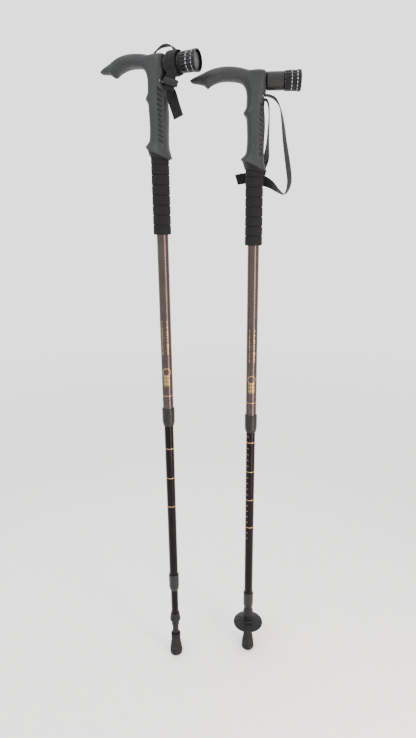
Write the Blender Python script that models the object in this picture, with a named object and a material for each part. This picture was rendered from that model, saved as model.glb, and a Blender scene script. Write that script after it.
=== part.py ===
"""A pair of three-section twist-lock trekking poles with T-handles and torches in the handles.

Each pole stands on its rubber foot and runs up +Z. The left pole's foot base is the origin. The
right pole stands beside it, fully pushed in at its lower section and with its mud basket on.
Heights along a pole follow from each other, from the foot up, so one size moves what stands on it.
"""

import math
from dataclasses import dataclass

import bmesh
import bpy
from mathutils import Vector

MM = 0.001

# Fits
GAP = 0.3 * MM  # between two pieces that touch or slide
TURN_STEPS = 16  # sides of a turned piece
FINE_STEPS = 12  # sides of a small turned piece
BIG_STEPS = 24  # sides of the basket and the torch head

# The pair
POLE_SPACING = Vector((125.0, 15.0, 0.0)) * MM

# Tubes
TUBE_WALL = 0.7 * MM
UPPER_TUBE_RADIUS = 8.0 * MM
MIDDLE_TUBE_RADIUS = UPPER_TUBE_RADIUS - TUBE_WALL - GAP
LOWER_TUBE_RADIUS = MIDDLE_TUBE_RADIUS - TUBE_WALL - GAP
UPPER_TUBE_LENGTH = 449.0 * MM
MIDDLE_TUBE_LENGTH = 402.0 * MM
LOWER_TUBE_LENGTH = MIDDLE_TUBE_LENGTH - 63.0 * MM

# Rubber foot
FOOT_HEIGHT = 41.6 * MM
FOOT_BASE_RADIUS = 10.65 * MM
FOOT_NECK_RADIUS = 7.3 * MM
FOOT_RING_RADIUS = 7.9 * MM
FOOT_FLOOR = 12.0 * MM  # rubber under the steel tip

# Tip ferrule
FERRULE_NECK_RADIUS = 5.15 * MM
FERRULE_NECK_LENGTH = 42.4 * MM
FERRULE_THREAD_RADIUS = 6.3 * MM
FERRULE_THREAD_LENGTH = 9.6 * MM
FERRULE_SEAT_RADIUS = 8.9 * MM
FERRULE_SEAT_RISE = 5.1 * MM
FERRULE_TAPER_LENGTH = 11.7 * MM
SLEEVE_WALL = 0.6 * MM
TIP_RADIUS = 2.2 * MM
TIP_LENGTH = 13.5 * MM
TIP_SHOWING = 3.5 * MM

# Mud basket
BASKET_RADIUS = 25.0 * MM
BASKET_RIM = 2.0 * MM
BASKET_DISH = 5.0 * MM
BASKET_HUB_WALL = 1.4 * MM
BASKET_HUB_DROP = 9.0 * MM

# Collars at the tubes' lower ends
COLLAR_LIP = 3.0 * MM
LOWER_COLLAR_LENGTH = 30.5 * MM
UPPER_COLLAR_LENGTH = 28.0 * MM
COLLAR_WALL = 1.1 * MM
COLLAR_TAPER = 6.0 * MM

# Twist locks
PLUG_LENGTH = 22.0 * MM
STUD_FLANGE = 2.5 * MM
ROD_RADIUS = 2.4 * MM
CONE_LENGTH = 11.0 * MM
CONE_SLOPE = 1.6 * MM
CONE_LIFT = 1.5 * MM  # room under the cone for its travel
EXPANDER_LENGTH = 31.0 * MM
EXPANDER_WALL = 0.65 * MM
SLIT_WIDTH = 1.2 * MM
SLIT_LENGTH = 21.0 * MM
ROD_HEAD = 2.0 * MM

# Anti-shock spring
SPRING_LENGTH = 40.0 * MM
SPRING_WIRE = 0.7 * MM
SPRING_TURNS = 6
SPRING_POINTS = 10
SHOCK_ROD_DROP = 27.0 * MM
SHOCK_NUT = 3.0 * MM
SHOCK_NUT_RADIUS = 3.8 * MM
SHOCK_ROD_RADIUS = 2.2 * MM

# Foam grip
FOAM_RADIUS = 12.0 * MM
FOAM_SEGMENTS = 8
FOAM_BOTTOM_BELOW_TOP = 218.0 * MM
FOAM_TOP_BELOW_TOP = 116.5 * MM
FOAM_GROOVE = 1.1 * MM

# Handle, measured from the pole's axis and down from the top of the boss
TUBE_TOP_BELOW_TOP = 46.0 * MM
HANDLE_SIDES = 16
# Each row is one section: x, z at the palm side; x, z at the outer side; half thickness; squareness
HANDLE_SECTIONS = (
    (-8.0, -118.6, 14.6, -123.2, 12.4, 2.2),
    (-18.6, -106.2, 16.4, -122.4, 14.8, 2.2),
    (-17.6, -104.8, 15.4, -119.0, 14.4, 2.2),
    (-12.4, -99.4, 12.4, -109.5, 12.8, 2.4),
    (-10.8, -91.0, 12.0, -98.0, 12.5, 2.6),
    (-10.5, -80.0, 12.3, -84.0, 12.7, 2.6),
    (-10.9, -67.0, 12.9, -69.0, 13.0, 2.6),
    (-12.0, -56.5, 12.6, -57.0, 12.9, 2.5),
    (-15.6, -50.5, 12.1, -50.5, 12.6, 2.4),
    (-12.4, -44.5, 11.5, -43.5, 12.6, 2.4),
    (-11.6, -37.0, 12.2, -35.5, 12.8, 2.4),
    (-11.6, -29.5, 13.2, -26.5, 13.2, 2.4),
    (-12.6, -23.4, 14.2, -18.5, 13.6, 2.5),
    (-14.6, -19.0, 14.8, -8.5, 13.8, 2.6),
    (-17.6, -15.9, 12.4, -1.6, 13.8, 2.6),
    (-21.4, -14.2, 3.0, 0.0, 13.6, 2.5),
    (-25.6, -13.4, -7.0, -0.6, 13.4, 2.4),
    (-30.6, -13.0, -17.0, 1.8, 13.2, 2.3),
    (-37.0, -12.7, -29.0, 3.7, 13.2, 2.2),
    (-44.5, -13.2, -41.0, 4.0, 13.0, 2.2),
    (-51.5, -15.2, -52.5, 2.4, 12.2, 2.2),
    (-57.0, -17.8, -60.5, 0.2, 11.0, 2.1),
    (-61.5, -20.8, -67.5, -2.7, 9.6, 2.1),
    (-66.5, -17.2, -73.5, -5.2, 8.2, 2.1),
    (-73.0, -15.6, -79.5, -7.6, 6.6, 2.1),
    (-79.5, -14.6, -84.0, -10.2, 4.2, 2.1),
)

# Torch, on the boss's outer side, measured along its own axis from the pole's axis
TORCH_BELOW_TOP = 13.0 * MM
SOCKET_DEPTH = 12.0 * MM
SPIGOT_RADIUS = 5.5 * MM
BOSS_FACE = 16.0 * MM
BARREL_RADIUS = 11.0 * MM
BARREL_END = 35.0 * MM
BATTERY_RADIUS = 5.8 * MM
BATTERY_LENGTH = 16.2 * MM
NECK_RADIUS = 9.2 * MM
NECK_LENGTH = 8.5 * MM
HEAD_END = 57.5 * MM
HEAD_BACK_RADIUS = 11.8 * MM
HEAD_RIM_RADIUS = 12.8 * MM
HEAD_WALL = 1.6 * MM
LENS_THICKNESS = 1.5 * MM
LENS_INSET = 2.6 * MM
REFLECTOR_WALL = 0.8 * MM
LED_RADIUS = 2.5 * MM
BOARD_THICKNESS = 1.6 * MM

# Wrist strap
STRAP_HALF_WIDTH = 7.0 * MM
STRAP_ROW_HALF = 7.0 * MM  # half width at which the strap's rows are written
WINDING_ROW_RADIUS = 14.2 * MM  # outside of the winding at which its rows are written
STRAP_THICKNESS = 1.3 * MM
PIN_RADIUS = 1.5 * MM
PIN_HALF_LENGTH = 10.5 * MM
PIN_X = 8.0 * MM
PIN_BELOW_TOP = 32.0 * MM
SLOT_MOUTH = 17.0 * MM
STRAP_SMOOTHING = 2
SLIDER_WALL = 1.6 * MM
SLIDER_LENGTH = 8.0 * MM


@dataclass(frozen=True)
class Pole:
    """Where one pole stands and how far it is pulled out."""

    side: str
    place: Vector
    lower_showing: float
    middle_showing: float
    yaw: float
    has_basket: bool

    @property
    def ferrule_top(self):
        return neck_base() + ferrule_height()

    @property
    def lower_tube_bottom(self):
        return self.ferrule_top - FERRULE_SEAT_RISE - FERRULE_TAPER_LENGTH + 1.5 * MM

    @property
    def lower_tube_top(self):
        return self.lower_tube_bottom + LOWER_TUBE_LENGTH

    @property
    def lower_collar_bottom(self):
        return self.ferrule_top + self.lower_showing

    @property
    def middle_tube_top(self):
        return self.lower_collar_bottom + COLLAR_LIP + MIDDLE_TUBE_LENGTH

    @property
    def upper_collar_bottom(self):
        return self.lower_collar_bottom + LOWER_COLLAR_LENGTH + self.middle_showing

    @property
    def upper_tube_top(self):
        return self.upper_collar_bottom + COLLAR_LIP + UPPER_TUBE_LENGTH

    @property
    def top(self):
        return self.upper_tube_top + TUBE_TOP_BELOW_TOP


LEFT = Pole("left", Vector((0.0, 0.0, 0.0)), 46.2 * MM, 266.0 * MM, math.radians(-22.0), False)
RIGHT = Pole("right", POLE_SPACING, 0.5 * MM, 295.7 * MM, 0.0, True)

# Colour, metallic, roughness
FINISHES = {
    "rubber": ((0.012, 0.012, 0.013), 0.0, 0.8),
    "steel": ((0.45, 0.45, 0.47), 1.0, 0.3),
    "black_plastic": ((0.016, 0.016, 0.018), 0.0, 0.45),
    "grey_plastic": ((0.045, 0.048, 0.05), 0.0, 0.5),
    "white_plastic": ((0.6, 0.6, 0.58), 0.0, 0.45),
    "black_tube": ((0.02, 0.017, 0.019), 0.9, 0.28),
    "bronze_tube": ((0.09, 0.065, 0.06), 0.9, 0.28),
    "foam": ((0.01, 0.01, 0.011), 0.0, 0.95),
    "handle_rubber": ((0.035, 0.042, 0.044), 0.0, 0.6),
    "black_metal": ((0.012, 0.012, 0.014), 0.8, 0.22),
    "lens": ((0.75, 0.78, 0.8), 0.0, 0.05),
    "mirror": ((0.85, 0.85, 0.86), 1.0, 0.1),
    "board": ((0.05, 0.16, 0.08), 0.0, 0.5),
    "webbing": ((0.009, 0.009, 0.01), 0.0, 0.9),
}


def neck_base():
    """Height of the ferrule's lower end, over the steel tip that shows."""
    return FOOT_FLOOR + GAP + TIP_SHOWING


def ferrule_height():
    """The ferrule from its lower end to its upper end."""
    body = FERRULE_NECK_LENGTH + FERRULE_THREAD_LENGTH
    return body + FERRULE_SEAT_RISE + FERRULE_TAPER_LENGTH


def clear_scene():
    """Empties the scene of what a new file holds."""
    for thing in list(bpy.data.objects):
        bpy.data.objects.remove(thing)


def finish_material(name):
    """The Principled material of that name, made once."""
    made = bpy.data.materials.get(name)
    if made:
        return made
    colour, metallic, roughness = FINISHES[name]
    made = bpy.data.materials.new(name)
    made.use_nodes = True
    shader = made.node_tree.nodes["Principled BSDF"]
    shader.inputs["Base Color"].default_value = (*colour, 1.0)
    shader.inputs["Metallic"].default_value = metallic
    shader.inputs["Roughness"].default_value = roughness
    return made


def make_empty(name, place, parent=None, rotation=(0.0, 0.0, 0.0)):
    """An empty that pieces are placed from."""
    empty = bpy.data.objects.new(name, None)
    empty.location = place
    empty.rotation_euler = rotation
    empty.parent = parent
    bpy.context.scene.collection.objects.link(empty)
    return empty


def make_object(name, mesh, finish, parent, place=(0.0, 0.0, 0.0), rotation=(0.0, 0.0, 0.0)):
    """A named object with its own material, placed under its parent."""
    thing = bpy.data.objects.new(name, mesh)
    thing.location = place
    thing.rotation_euler = rotation
    thing.parent = parent
    mesh.materials.append(finish_material(finish))
    bpy.context.scene.collection.objects.link(thing)
    return thing


def make_guide(name, mesh, parent, place=(0.0, 0.0, 0.0), rotation=(0.0, 0.0, 0.0)):
    """A cutter or an added shape, which isn't a piece itself."""
    guide = bpy.data.objects.new(name, mesh)
    guide.location = place
    guide.rotation_euler = rotation
    guide.parent = parent
    guide.hide_render = True
    guide.display_type = "WIRE"
    bpy.context.scene.collection.objects.link(guide)
    return guide


def apply_boolean(thing, guide, operation="DIFFERENCE"):
    """Cuts the guide out of a piece, or joins it on."""
    modifier = thing.modifiers.new(guide.name, "BOOLEAN")
    modifier.operation = operation
    modifier.solver = "EXACT"
    modifier.object = guide


def mesh_from_bmesh(name, bm):
    """Closes a bmesh into a mesh whose faces point out."""
    bmesh.ops.remove_doubles(bm, verts=bm.verts, dist=1e-7)
    bmesh.ops.recalc_face_normals(bm, faces=bm.faces)
    mesh = bpy.data.meshes.new(name)
    bm.to_mesh(mesh)
    bm.free()
    mesh.shade_smooth()
    mesh.set_sharp_from_angle(angle=math.radians(35.0))
    return mesh


def turned(name, profile, steps=TURN_STEPS):
    """Turns a profile of (radius, height) about Z. A profile that leaves the axis free is closed."""
    bm = bmesh.new()
    verts = [bm.verts.new((radius, 0.0, height)) for radius, height in profile]
    edges = [bm.edges.new(pair) for pair in zip(verts, verts[1:])]
    if min(profile[0][0], profile[-1][0]) > 0.0:
        edges.append(bm.edges.new((verts[-1], verts[0])))
    bmesh.ops.spin(
        bm, geom=verts + edges, axis=(0, 0, 1), cent=(0, 0, 0), angle=math.tau, steps=steps
    )
    return mesh_from_bmesh(name, bm)


def cup(name, hollow, outside):
    """A turned piece whose hollow and outside meet at the rim, the first hollow point."""
    bm = bmesh.new()
    verts = [bm.verts.new((r, 0.0, z)) for r, z in hollow]
    shell = [bm.verts.new((r, 0.0, z)) for r, z in outside]
    edges = [bm.edges.new(pair) for pair in zip(verts, verts[1:])]
    edges += [bm.edges.new(pair) for pair in zip(shell, shell[1:])]
    edges.append(bm.edges.new((shell[-1], verts[0])))
    bmesh.ops.spin(
        bm,
        geom=verts + shell + edges,
        axis=(0, 0, 1),
        cent=(0, 0, 0),
        angle=math.tau,
        steps=TURN_STEPS,
    )
    return mesh_from_bmesh(name, bm)


def tube_profile(radius, wall, bottom, top):
    """The wall of a plain tube."""
    return [(radius, top), (radius, bottom), (radius - wall, bottom), (radius - wall, top)]


def box_mesh(name, low, high):
    """A box between two corners."""
    bm = bmesh.new()
    bmesh.ops.create_cube(bm, size=1.0)
    low, high = Vector(low), Vector(high)
    size = high - low
    for vert in bm.verts:
        vert.co = Vector([(c + 0.5) * s + b for c, s, b in zip(vert.co, size, low)])
    return mesh_from_bmesh(name, bm)


def loft(name, rings):
    """Skins a row of closed rings and fills the two end rings."""
    bm = bmesh.new()
    rows = [[bm.verts.new(point) for point in ring] for ring in rings]
    for row, following in zip(rows, rows[1:]):
        count = len(row)
        for i in range(count):
            j = (i + 1) % count
            bm.faces.new((row[i], row[j], following[j], following[i]))
    bm.faces.new(rows[0])
    bm.faces.new(rows[-1])
    return mesh_from_bmesh(name, bm)


def spline_row(rows, steps):
    """Catmull-Rom through rows of numbers, with that many steps to each span."""
    padded = [rows[0], *rows, rows[-1]]
    out = []
    for a, b, c, d in zip(padded, padded[1:], padded[2:], padded[3:]):
        for step in range(steps):
            t = step / steps
            out.append(
                [
                    0.5
                    * (
                        2 * q
                        + (r - p) * t
                        + (2 * p - 5 * q + 4 * r - s) * t * t
                        + (3 * q - p - 3 * r + s) * t**3
                    )
                    for p, q, r, s in zip(a, b, c, d)
                ]
            )
    out.append(list(rows[-1]))
    return out


def ribbon(name, stations):
    """Webbing along stations of (x, y, z, width x, y, z) in metres, with its thickness across."""
    centres = [Vector(s[:3]) for s in stations]
    rings = []
    for i, station in enumerate(stations):
        before = centres[max(i - 1, 0)]
        after = centres[min(i + 1, len(centres) - 1)]
        width = Vector(station[3:])
        normal = (after - before).cross(width).normalized() * STRAP_THICKNESS / 2
        centre = centres[i]
        rings.append(
            [
                centre + width + normal,
                centre + width - normal,
                centre - width - normal,
                centre - width + normal,
            ]
        )
    return loft(name, rings)


def strap_rows(stations):
    """Rows of millimetres as rows of metres, their half widths brought to the strap's."""
    wide = STRAP_HALF_WIDTH / STRAP_ROW_HALF
    return [[v * MM for v in row[:3]] + [v * wide * MM for v in row[3:]] for row in stations]


# Sections of the pole, from the foot up


def make_foot(pole, axis):
    """Rubber foot: a flared boot with a blind hole for the ferrule's neck and the steel tip."""
    bore = FERRULE_NECK_RADIUS + GAP
    tip_bore = TIP_RADIUS + GAP
    ring = FOOT_HEIGHT - 9.6 * MM
    profile = [
        (0.0, FOOT_FLOOR),
        (tip_bore, FOOT_FLOOR),
        (tip_bore, neck_base() - GAP),
        (bore, neck_base() - GAP),
        (bore, FOOT_HEIGHT),
        (FOOT_RING_RADIUS - 0.6 * MM, FOOT_HEIGHT),
        (FOOT_RING_RADIUS, FOOT_HEIGHT - 1.0 * MM),
        (FOOT_RING_RADIUS, ring),
        (FOOT_NECK_RADIUS, ring - 1.6 * MM),
        (FOOT_NECK_RADIUS + 1.2 * MM, ring - 8.0 * MM),
        (FOOT_BASE_RADIUS - 0.4 * MM, 10.0 * MM),
        (FOOT_BASE_RADIUS, 4.0 * MM),
        (FOOT_BASE_RADIUS - 0.3 * MM, 1.6 * MM),
        (FOOT_BASE_RADIUS - 1.5 * MM, 0.0),
        (0.0, 0.0),
    ]
    name = f"{pole.side}_rubber_foot"
    make_object(name, turned(name, profile), "rubber", axis)


def make_tip(pole, axis):
    """Steel tip, with a blunt point, pressed into the ferrule."""
    base = FOOT_FLOOR + GAP
    profile = [
        (0.0, base + TIP_LENGTH),
        (TIP_RADIUS, base + TIP_LENGTH),
        (TIP_RADIUS, base + 1.5 * MM),
        (TIP_RADIUS - 1.0 * MM, base),
        (0.0, base),
    ]
    name = f"{pole.side}_carbide_tip"
    make_object(name, turned(name, profile, FINE_STEPS), "steel", axis)


def make_ferrule(pole, axis):
    """Plastic tip ferrule: neck, basket thread, seat flange and the sleeve round the lower tube."""
    base = neck_base()
    neck_top = base + FERRULE_NECK_LENGTH
    thread_top = neck_top + FERRULE_THREAD_LENGTH
    seat = thread_top + FERRULE_SEAT_RISE
    top = pole.ferrule_top
    tube_seat = pole.lower_tube_bottom - GAP
    tube_bore = LOWER_TUBE_RADIUS + GAP
    tip_bore = TIP_RADIUS + GAP
    tip_seat = FOOT_FLOOR + GAP + TIP_LENGTH + GAP
    socket = [
        (tube_bore, top),
        (tube_bore, tube_seat),
        (0.0, tube_seat),
    ]
    outside = [
        (0.0, tip_seat),
        (tip_bore, tip_seat),
        (tip_bore, base),
        (FERRULE_NECK_RADIUS - 0.8 * MM, base),
        (FERRULE_NECK_RADIUS, base + 1.2 * MM),
        (FERRULE_NECK_RADIUS, neck_top),
        (FERRULE_THREAD_RADIUS, neck_top + 1.0 * MM),
        (FERRULE_THREAD_RADIUS, thread_top),
        (FERRULE_SEAT_RADIUS, thread_top + 1.2 * MM),
        (FERRULE_SEAT_RADIUS, seat),
        (tube_bore + SLEEVE_WALL, top),
    ]
    name = f"{pole.side}_tip_ferrule"
    make_object(name, cup(name, socket, outside), "black_plastic", axis)


def make_basket(pole, axis):
    """Mud basket: a dished plate with a hub that grips the ferrule's thread."""
    neck_top = neck_base() + FERRULE_NECK_LENGTH
    thread_top = neck_top + FERRULE_THREAD_LENGTH
    bore = FERRULE_THREAD_RADIUS + GAP
    lower_bore = FERRULE_NECK_RADIUS + GAP
    hub = bore + BASKET_HUB_WALL
    hub_base = neck_top - BASKET_HUB_DROP
    plate = neck_top - 1.0 * MM
    profile = [
        (bore, thread_top - GAP),
        (bore, neck_top - GAP),
        (lower_bore, neck_top - GAP - 1.0 * MM),
        (lower_bore, hub_base),
        (hub - 0.4 * MM, hub_base),
        (hub, plate - BASKET_RIM),
        (BASKET_RADIUS * 0.6, plate - BASKET_RIM - 0.5 * MM),
        (BASKET_RADIUS - 0.6 * MM, plate - BASKET_DISH),
        (BASKET_RADIUS, plate - BASKET_DISH + 0.6 * MM),
        (BASKET_RADIUS - 0.2 * MM, plate - BASKET_DISH + BASKET_RIM),
        (BASKET_RADIUS * 0.6, plate - 0.2 * MM),
        (hub + 1.0 * MM, plate + 0.6 * MM),
        (hub, plate + 2.0 * MM),
        (hub, thread_top - GAP),
    ]
    name = f"{pole.side}_basket"
    make_object(name, turned(name, profile, BIG_STEPS), "black_plastic", axis)


def make_tube(pole, axis, label, radius, bottom, length, finish):
    """One drawn tube of the pole."""
    name = f"{pole.side}_{label}"
    profile = tube_profile(radius, TUBE_WALL, bottom, bottom + length)
    make_object(name, turned(name, profile), finish, axis)


def make_collar(pole, axis, label, tube_radius, inner_radius, bottom, length, finish):
    """Collar round a tube's lower end, with a lip under it that guides the thinner tube."""
    bore = tube_radius + GAP
    lip = inner_radius + GAP
    outer = bore + COLLAR_WALL
    top = bottom + length
    seat = bottom + COLLAR_LIP - GAP
    profile = [
        (bore, top),
        (bore, seat),
        (lip, seat),
        (lip, bottom),
        (lip + 0.8 * MM, bottom),
        (outer - 0.7 * MM, bottom + COLLAR_TAPER * 0.5),
        (outer - 0.1 * MM, bottom + COLLAR_TAPER),
        (outer, bottom + 2.0 * COLLAR_TAPER),
        (outer, top - 1.0 * MM),
        (outer - 0.6 * MM, top),
    ]
    name = f"{pole.side}_{label}"
    make_object(name, turned(name, profile), finish, axis)


def cone_rows(base, outer):
    """The lock cone's outside: a short rim, then a taper that narrows upwards."""
    return [
        (outer - CONE_SLOPE, base + CONE_LENGTH),
        (outer, base + 2.0 * MM),
        (outer, base),
    ]


def make_lock(pole, label, axis, seat, bore_radius, finish="black_plastic"):
    """Cone and slit expander on a stud's rod, gripping the bore of the tube outside them."""
    rod_bore = ROD_RADIUS + GAP
    expander_radius = bore_radius - GAP
    cone_outer = expander_radius - EXPANDER_WALL - GAP
    base = seat + CONE_LIFT
    rows = cone_rows(base, cone_outer)
    cone = [(rod_bore, base), (rod_bore, base + CONE_LENGTH), *rows]
    name = f"{pole.side}_{label}_lock_cone"
    make_object(name, turned(name, cone, FINE_STEPS), "white_plastic", axis)
    low = base + 2.0 * MM + GAP
    mouth_top = base + CONE_LENGTH + GAP
    high = low + EXPANDER_LENGTH
    expander = [
        (expander_radius - EXPANDER_WALL, low),
        (expander_radius, low),
        (expander_radius, high - 1.0 * MM),
        (expander_radius - 0.8 * MM, high),
        (rod_bore, high),
        (rod_bore, mouth_top + GAP),
        (cone_outer - CONE_SLOPE + GAP, mouth_top),
    ]
    name = f"{pole.side}_{label}_lock_expander"
    sleeve = make_object(name, turned(name, expander), finish, axis)
    for turn in range(2):
        slit = box_mesh(
            f"{name}_slit_{turn}",
            (-SLIT_WIDTH / 2, -2 * bore_radius, low - 1.0 * MM),
            (SLIT_WIDTH / 2, 2 * bore_radius, low + SLIT_LENGTH),
        )
        guide = make_guide(slit.name, slit, axis, rotation=(0.0, 0.0, turn * math.pi / 2))
        apply_boolean(sleeve, guide)
    return high


def stud_rows(seat, flange_radius, high):
    """A stud's outside over its flange: flange, rod and the head that keeps the lock on."""
    head = high + GAP
    return [
        (0.0, head + ROD_HEAD),
        (ROD_RADIUS + 1.8 * MM, head + ROD_HEAD),
        (ROD_RADIUS + 1.8 * MM, head),
        (ROD_RADIUS, head),
        (ROD_RADIUS, seat),
        (flange_radius, seat),
    ]


def make_lower_lock(pole, axis):
    """Stud pressed into the lower tube's end, with the lock that grips the middle tube."""
    tube_top = pole.lower_tube_top
    seat = tube_top + STUD_FLANGE
    high = make_lock(pole, "lower", axis, seat, MIDDLE_TUBE_RADIUS - TUBE_WALL)
    plug = LOWER_TUBE_RADIUS - TUBE_WALL - GAP
    profile = [
        *stud_rows(seat, LOWER_TUBE_RADIUS - 0.1 * MM, high),
        (LOWER_TUBE_RADIUS - 0.1 * MM, tube_top + GAP),
        (plug, tube_top + GAP),
        (plug, tube_top - PLUG_LENGTH),
        (0.0, tube_top - PLUG_LENGTH),
    ]
    name = f"{pole.side}_lower_lock_stud"
    make_object(name, turned(name, profile, FINE_STEPS), "white_plastic", axis)


def make_shock_absorber(pole, axis):
    """Plug in the middle tube's end and the spring that stands on it."""
    tube_top = pole.middle_tube_top
    bore = MIDDLE_TUBE_RADIUS - TUBE_WALL - GAP
    rod_bore = SHOCK_ROD_RADIUS + GAP
    flange_top = tube_top + STUD_FLANGE
    profile = [
        (rod_bore, flange_top),
        (rod_bore, tube_top - PLUG_LENGTH),
        (bore, tube_top - PLUG_LENGTH),
        (bore, tube_top + GAP),
        (MIDDLE_TUBE_RADIUS - 0.1 * MM, tube_top + GAP),
        (MIDDLE_TUBE_RADIUS - 0.1 * MM, flange_top),
    ]
    name = f"{pole.side}_shock_plug"
    make_object(name, turned(name, profile), "white_plastic", axis)
    make_spring(pole, axis, flange_top + GAP + SPRING_WIRE)


def make_spring(pole, axis, base):
    """Compression spring: a helix of round wire, between the plug and the upper stud."""
    name = f"{pole.side}_shock_spring"
    rise = SPRING_LENGTH - 2 * GAP - 2 * SPRING_WIRE
    radius = SHOCK_ROD_RADIUS + GAP + SPRING_WIRE + 1.6 * MM
    curve = bpy.data.curves.new(name, "CURVE")
    curve.dimensions = "3D"
    curve.bevel_depth = SPRING_WIRE
    curve.bevel_resolution = 1
    curve.use_fill_caps = True
    spline = curve.splines.new("POLY")
    count = SPRING_TURNS * SPRING_POINTS + 1
    spline.points.add(count - 1)
    for i, point in enumerate(spline.points):
        turn = math.tau * i / SPRING_POINTS
        height = base + rise * i / (count - 1)
        point.co = (radius * math.cos(turn), radius * math.sin(turn), height, 1.0)
    curve.materials.append(finish_material("steel"))
    spring = bpy.data.objects.new(name, curve)
    spring.parent = axis
    bpy.context.scene.collection.objects.link(spring)


def make_upper_lock(pole, axis):
    """Sprung stud over the middle tube, with the lock that grips the upper tube."""
    tube_top = pole.middle_tube_top
    base = tube_top + STUD_FLANGE + SPRING_LENGTH
    seat = base + 2 * STUD_FLANGE
    bore = UPPER_TUBE_RADIUS - TUBE_WALL
    high = make_lock(pole, "upper", axis, seat, bore)
    flange = bore - 0.7 * MM
    nut = tube_top - SHOCK_ROD_DROP
    profile = [
        *stud_rows(seat, flange, high),
        (flange, base),
        (SHOCK_ROD_RADIUS, base),
        (SHOCK_ROD_RADIUS, nut + SHOCK_NUT),
        (SHOCK_NUT_RADIUS, nut + SHOCK_NUT),
        (SHOCK_NUT_RADIUS, nut),
        (0.0, nut),
    ]
    name = f"{pole.side}_upper_lock_stud"
    make_object(name, turned(name, profile, FINE_STEPS), "white_plastic", axis)


def make_foam(pole, axis):
    """Foam grip: a sleeve with a groove between each two segments and rounded ends."""
    bottom = pole.top - FOAM_BOTTOM_BELOW_TOP
    top = pole.top - FOAM_TOP_BELOW_TOP
    pitch = (top - bottom) / FOAM_SEGMENTS
    bore = UPPER_TUBE_RADIUS + GAP
    profile = [(bore, top), (bore, bottom)]
    for segment in range(FOAM_SEGMENTS):
        low = bottom + segment * pitch
        profile += [
            (FOAM_RADIUS - FOAM_GROOVE, low),
            (FOAM_RADIUS, low + 0.14 * pitch),
            (FOAM_RADIUS, low + 0.86 * pitch),
        ]
    profile.append((FOAM_RADIUS - FOAM_GROOVE, top))
    name = f"{pole.side}_foam_grip"
    make_object(name, turned(name, profile), "foam", axis)


# Handle, torch and strap, in the handle's own frame: x outwards, z up, 0 at the boss's top


def handle_mesh(name):
    """Skins the handle's sections, each a squared-off ellipse between its two outline points."""
    rings = []
    for inner_x, inner_z, outer_x, outer_z, depth, squareness in HANDLE_SECTIONS:
        centre = Vector((inner_x + outer_x, 0.0, inner_z + outer_z)) * MM / 2
        reach = Vector((outer_x - inner_x, 0.0, outer_z - inner_z)) * MM / 2
        power = 2.0 / squareness
        ring = []
        for side in range(HANDLE_SIDES):
            angle = math.tau * side / HANDLE_SIDES
            across = math.copysign(abs(math.cos(angle)) ** power, math.cos(angle))
            deep = math.copysign(abs(math.sin(angle)) ** power, math.sin(angle))
            ring.append(centre + reach * across + Vector((0.0, depth * MM * deep, 0.0)))
        rings.append(ring)
    return loft(name, rings)


def make_handle(pole, head):
    """Moulded T-handle with its tube bore, foam recess, torch socket, strap slot and pin hole."""
    name = f"{pole.side}_handle"
    handle = make_object(name, handle_mesh(name), "handle_rubber", head)
    tube_bore = UPPER_TUBE_RADIUS + GAP
    recess = FOAM_RADIUS + GAP
    recess_top = -FOAM_TOP_BELOW_TOP + GAP
    bore_top = -TUBE_TOP_BELOW_TOP + GAP
    below = -130.0 * MM
    bore = turned(
        f"{name}_bore",
        [
            (0.0, bore_top),
            (tube_bore, bore_top),
            (tube_bore, recess_top),
            (recess, recess_top),
            (recess, below),
            (0.0, below),
        ],
    )
    apply_boolean(handle, make_guide(bore.name, bore, head))
    socket_radius = SPIGOT_RADIUS + GAP
    socket = turned(
        f"{name}_socket",
        [
            (0.0, 30.0 * MM),
            (BARREL_RADIUS + 1.0 * MM, 30.0 * MM),
            (BARREL_RADIUS + 1.0 * MM, BOSS_FACE - 2.2 * MM),
            (socket_radius, BOSS_FACE - 2.2 * MM),
            (socket_radius, BOSS_FACE - SOCKET_DEPTH - GAP),
            (0.0, BOSS_FACE - SOCKET_DEPTH - GAP),
        ],
    )
    guide = make_guide(
        socket.name, socket, head, (0.0, 0.0, -TORCH_BELOW_TOP), (0.0, math.pi / 2, 0.0)
    )
    apply_boolean(handle, guide)
    reach = PIN_RADIUS + STRAP_THICKNESS + 3 * GAP
    slot = box_mesh(
        f"{name}_slot",
        (PIN_X - reach, -STRAP_HALF_WIDTH - GAP, -PIN_BELOW_TOP - reach),
        (SLOT_MOUTH, STRAP_HALF_WIDTH + GAP, -PIN_BELOW_TOP + reach),
    )
    apply_boolean(handle, make_guide(slot.name, slot, head))
    hole = turned(
        f"{name}_pin_hole",
        [
            (0.0, PIN_HALF_LENGTH + 8.0 * MM),
            (PIN_RADIUS + GAP, PIN_HALF_LENGTH + 8.0 * MM),
            (PIN_RADIUS + GAP, -PIN_HALF_LENGTH - 8.0 * MM),
            (0.0, -PIN_HALF_LENGTH - 8.0 * MM),
        ],
        FINE_STEPS,
    )
    place = (PIN_X, 0.0, -PIN_BELOW_TOP)
    apply_boolean(handle, make_guide(hole.name, hole, head, place, (math.pi / 2, 0.0, 0.0)))


def make_pin(pole, head):
    """Cross pin that the strap goes round."""
    profile = [
        (0.0, PIN_HALF_LENGTH),
        (PIN_RADIUS, PIN_HALF_LENGTH),
        (PIN_RADIUS, -PIN_HALF_LENGTH),
        (0.0, -PIN_HALF_LENGTH),
    ]
    name = f"{pole.side}_strap_pin"
    place = (PIN_X, 0.0, -PIN_BELOW_TOP)
    turn = (math.pi / 2, 0.0, 0.0)
    make_object(name, turned(name, profile, FINE_STEPS), "steel", head, place, turn)


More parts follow.
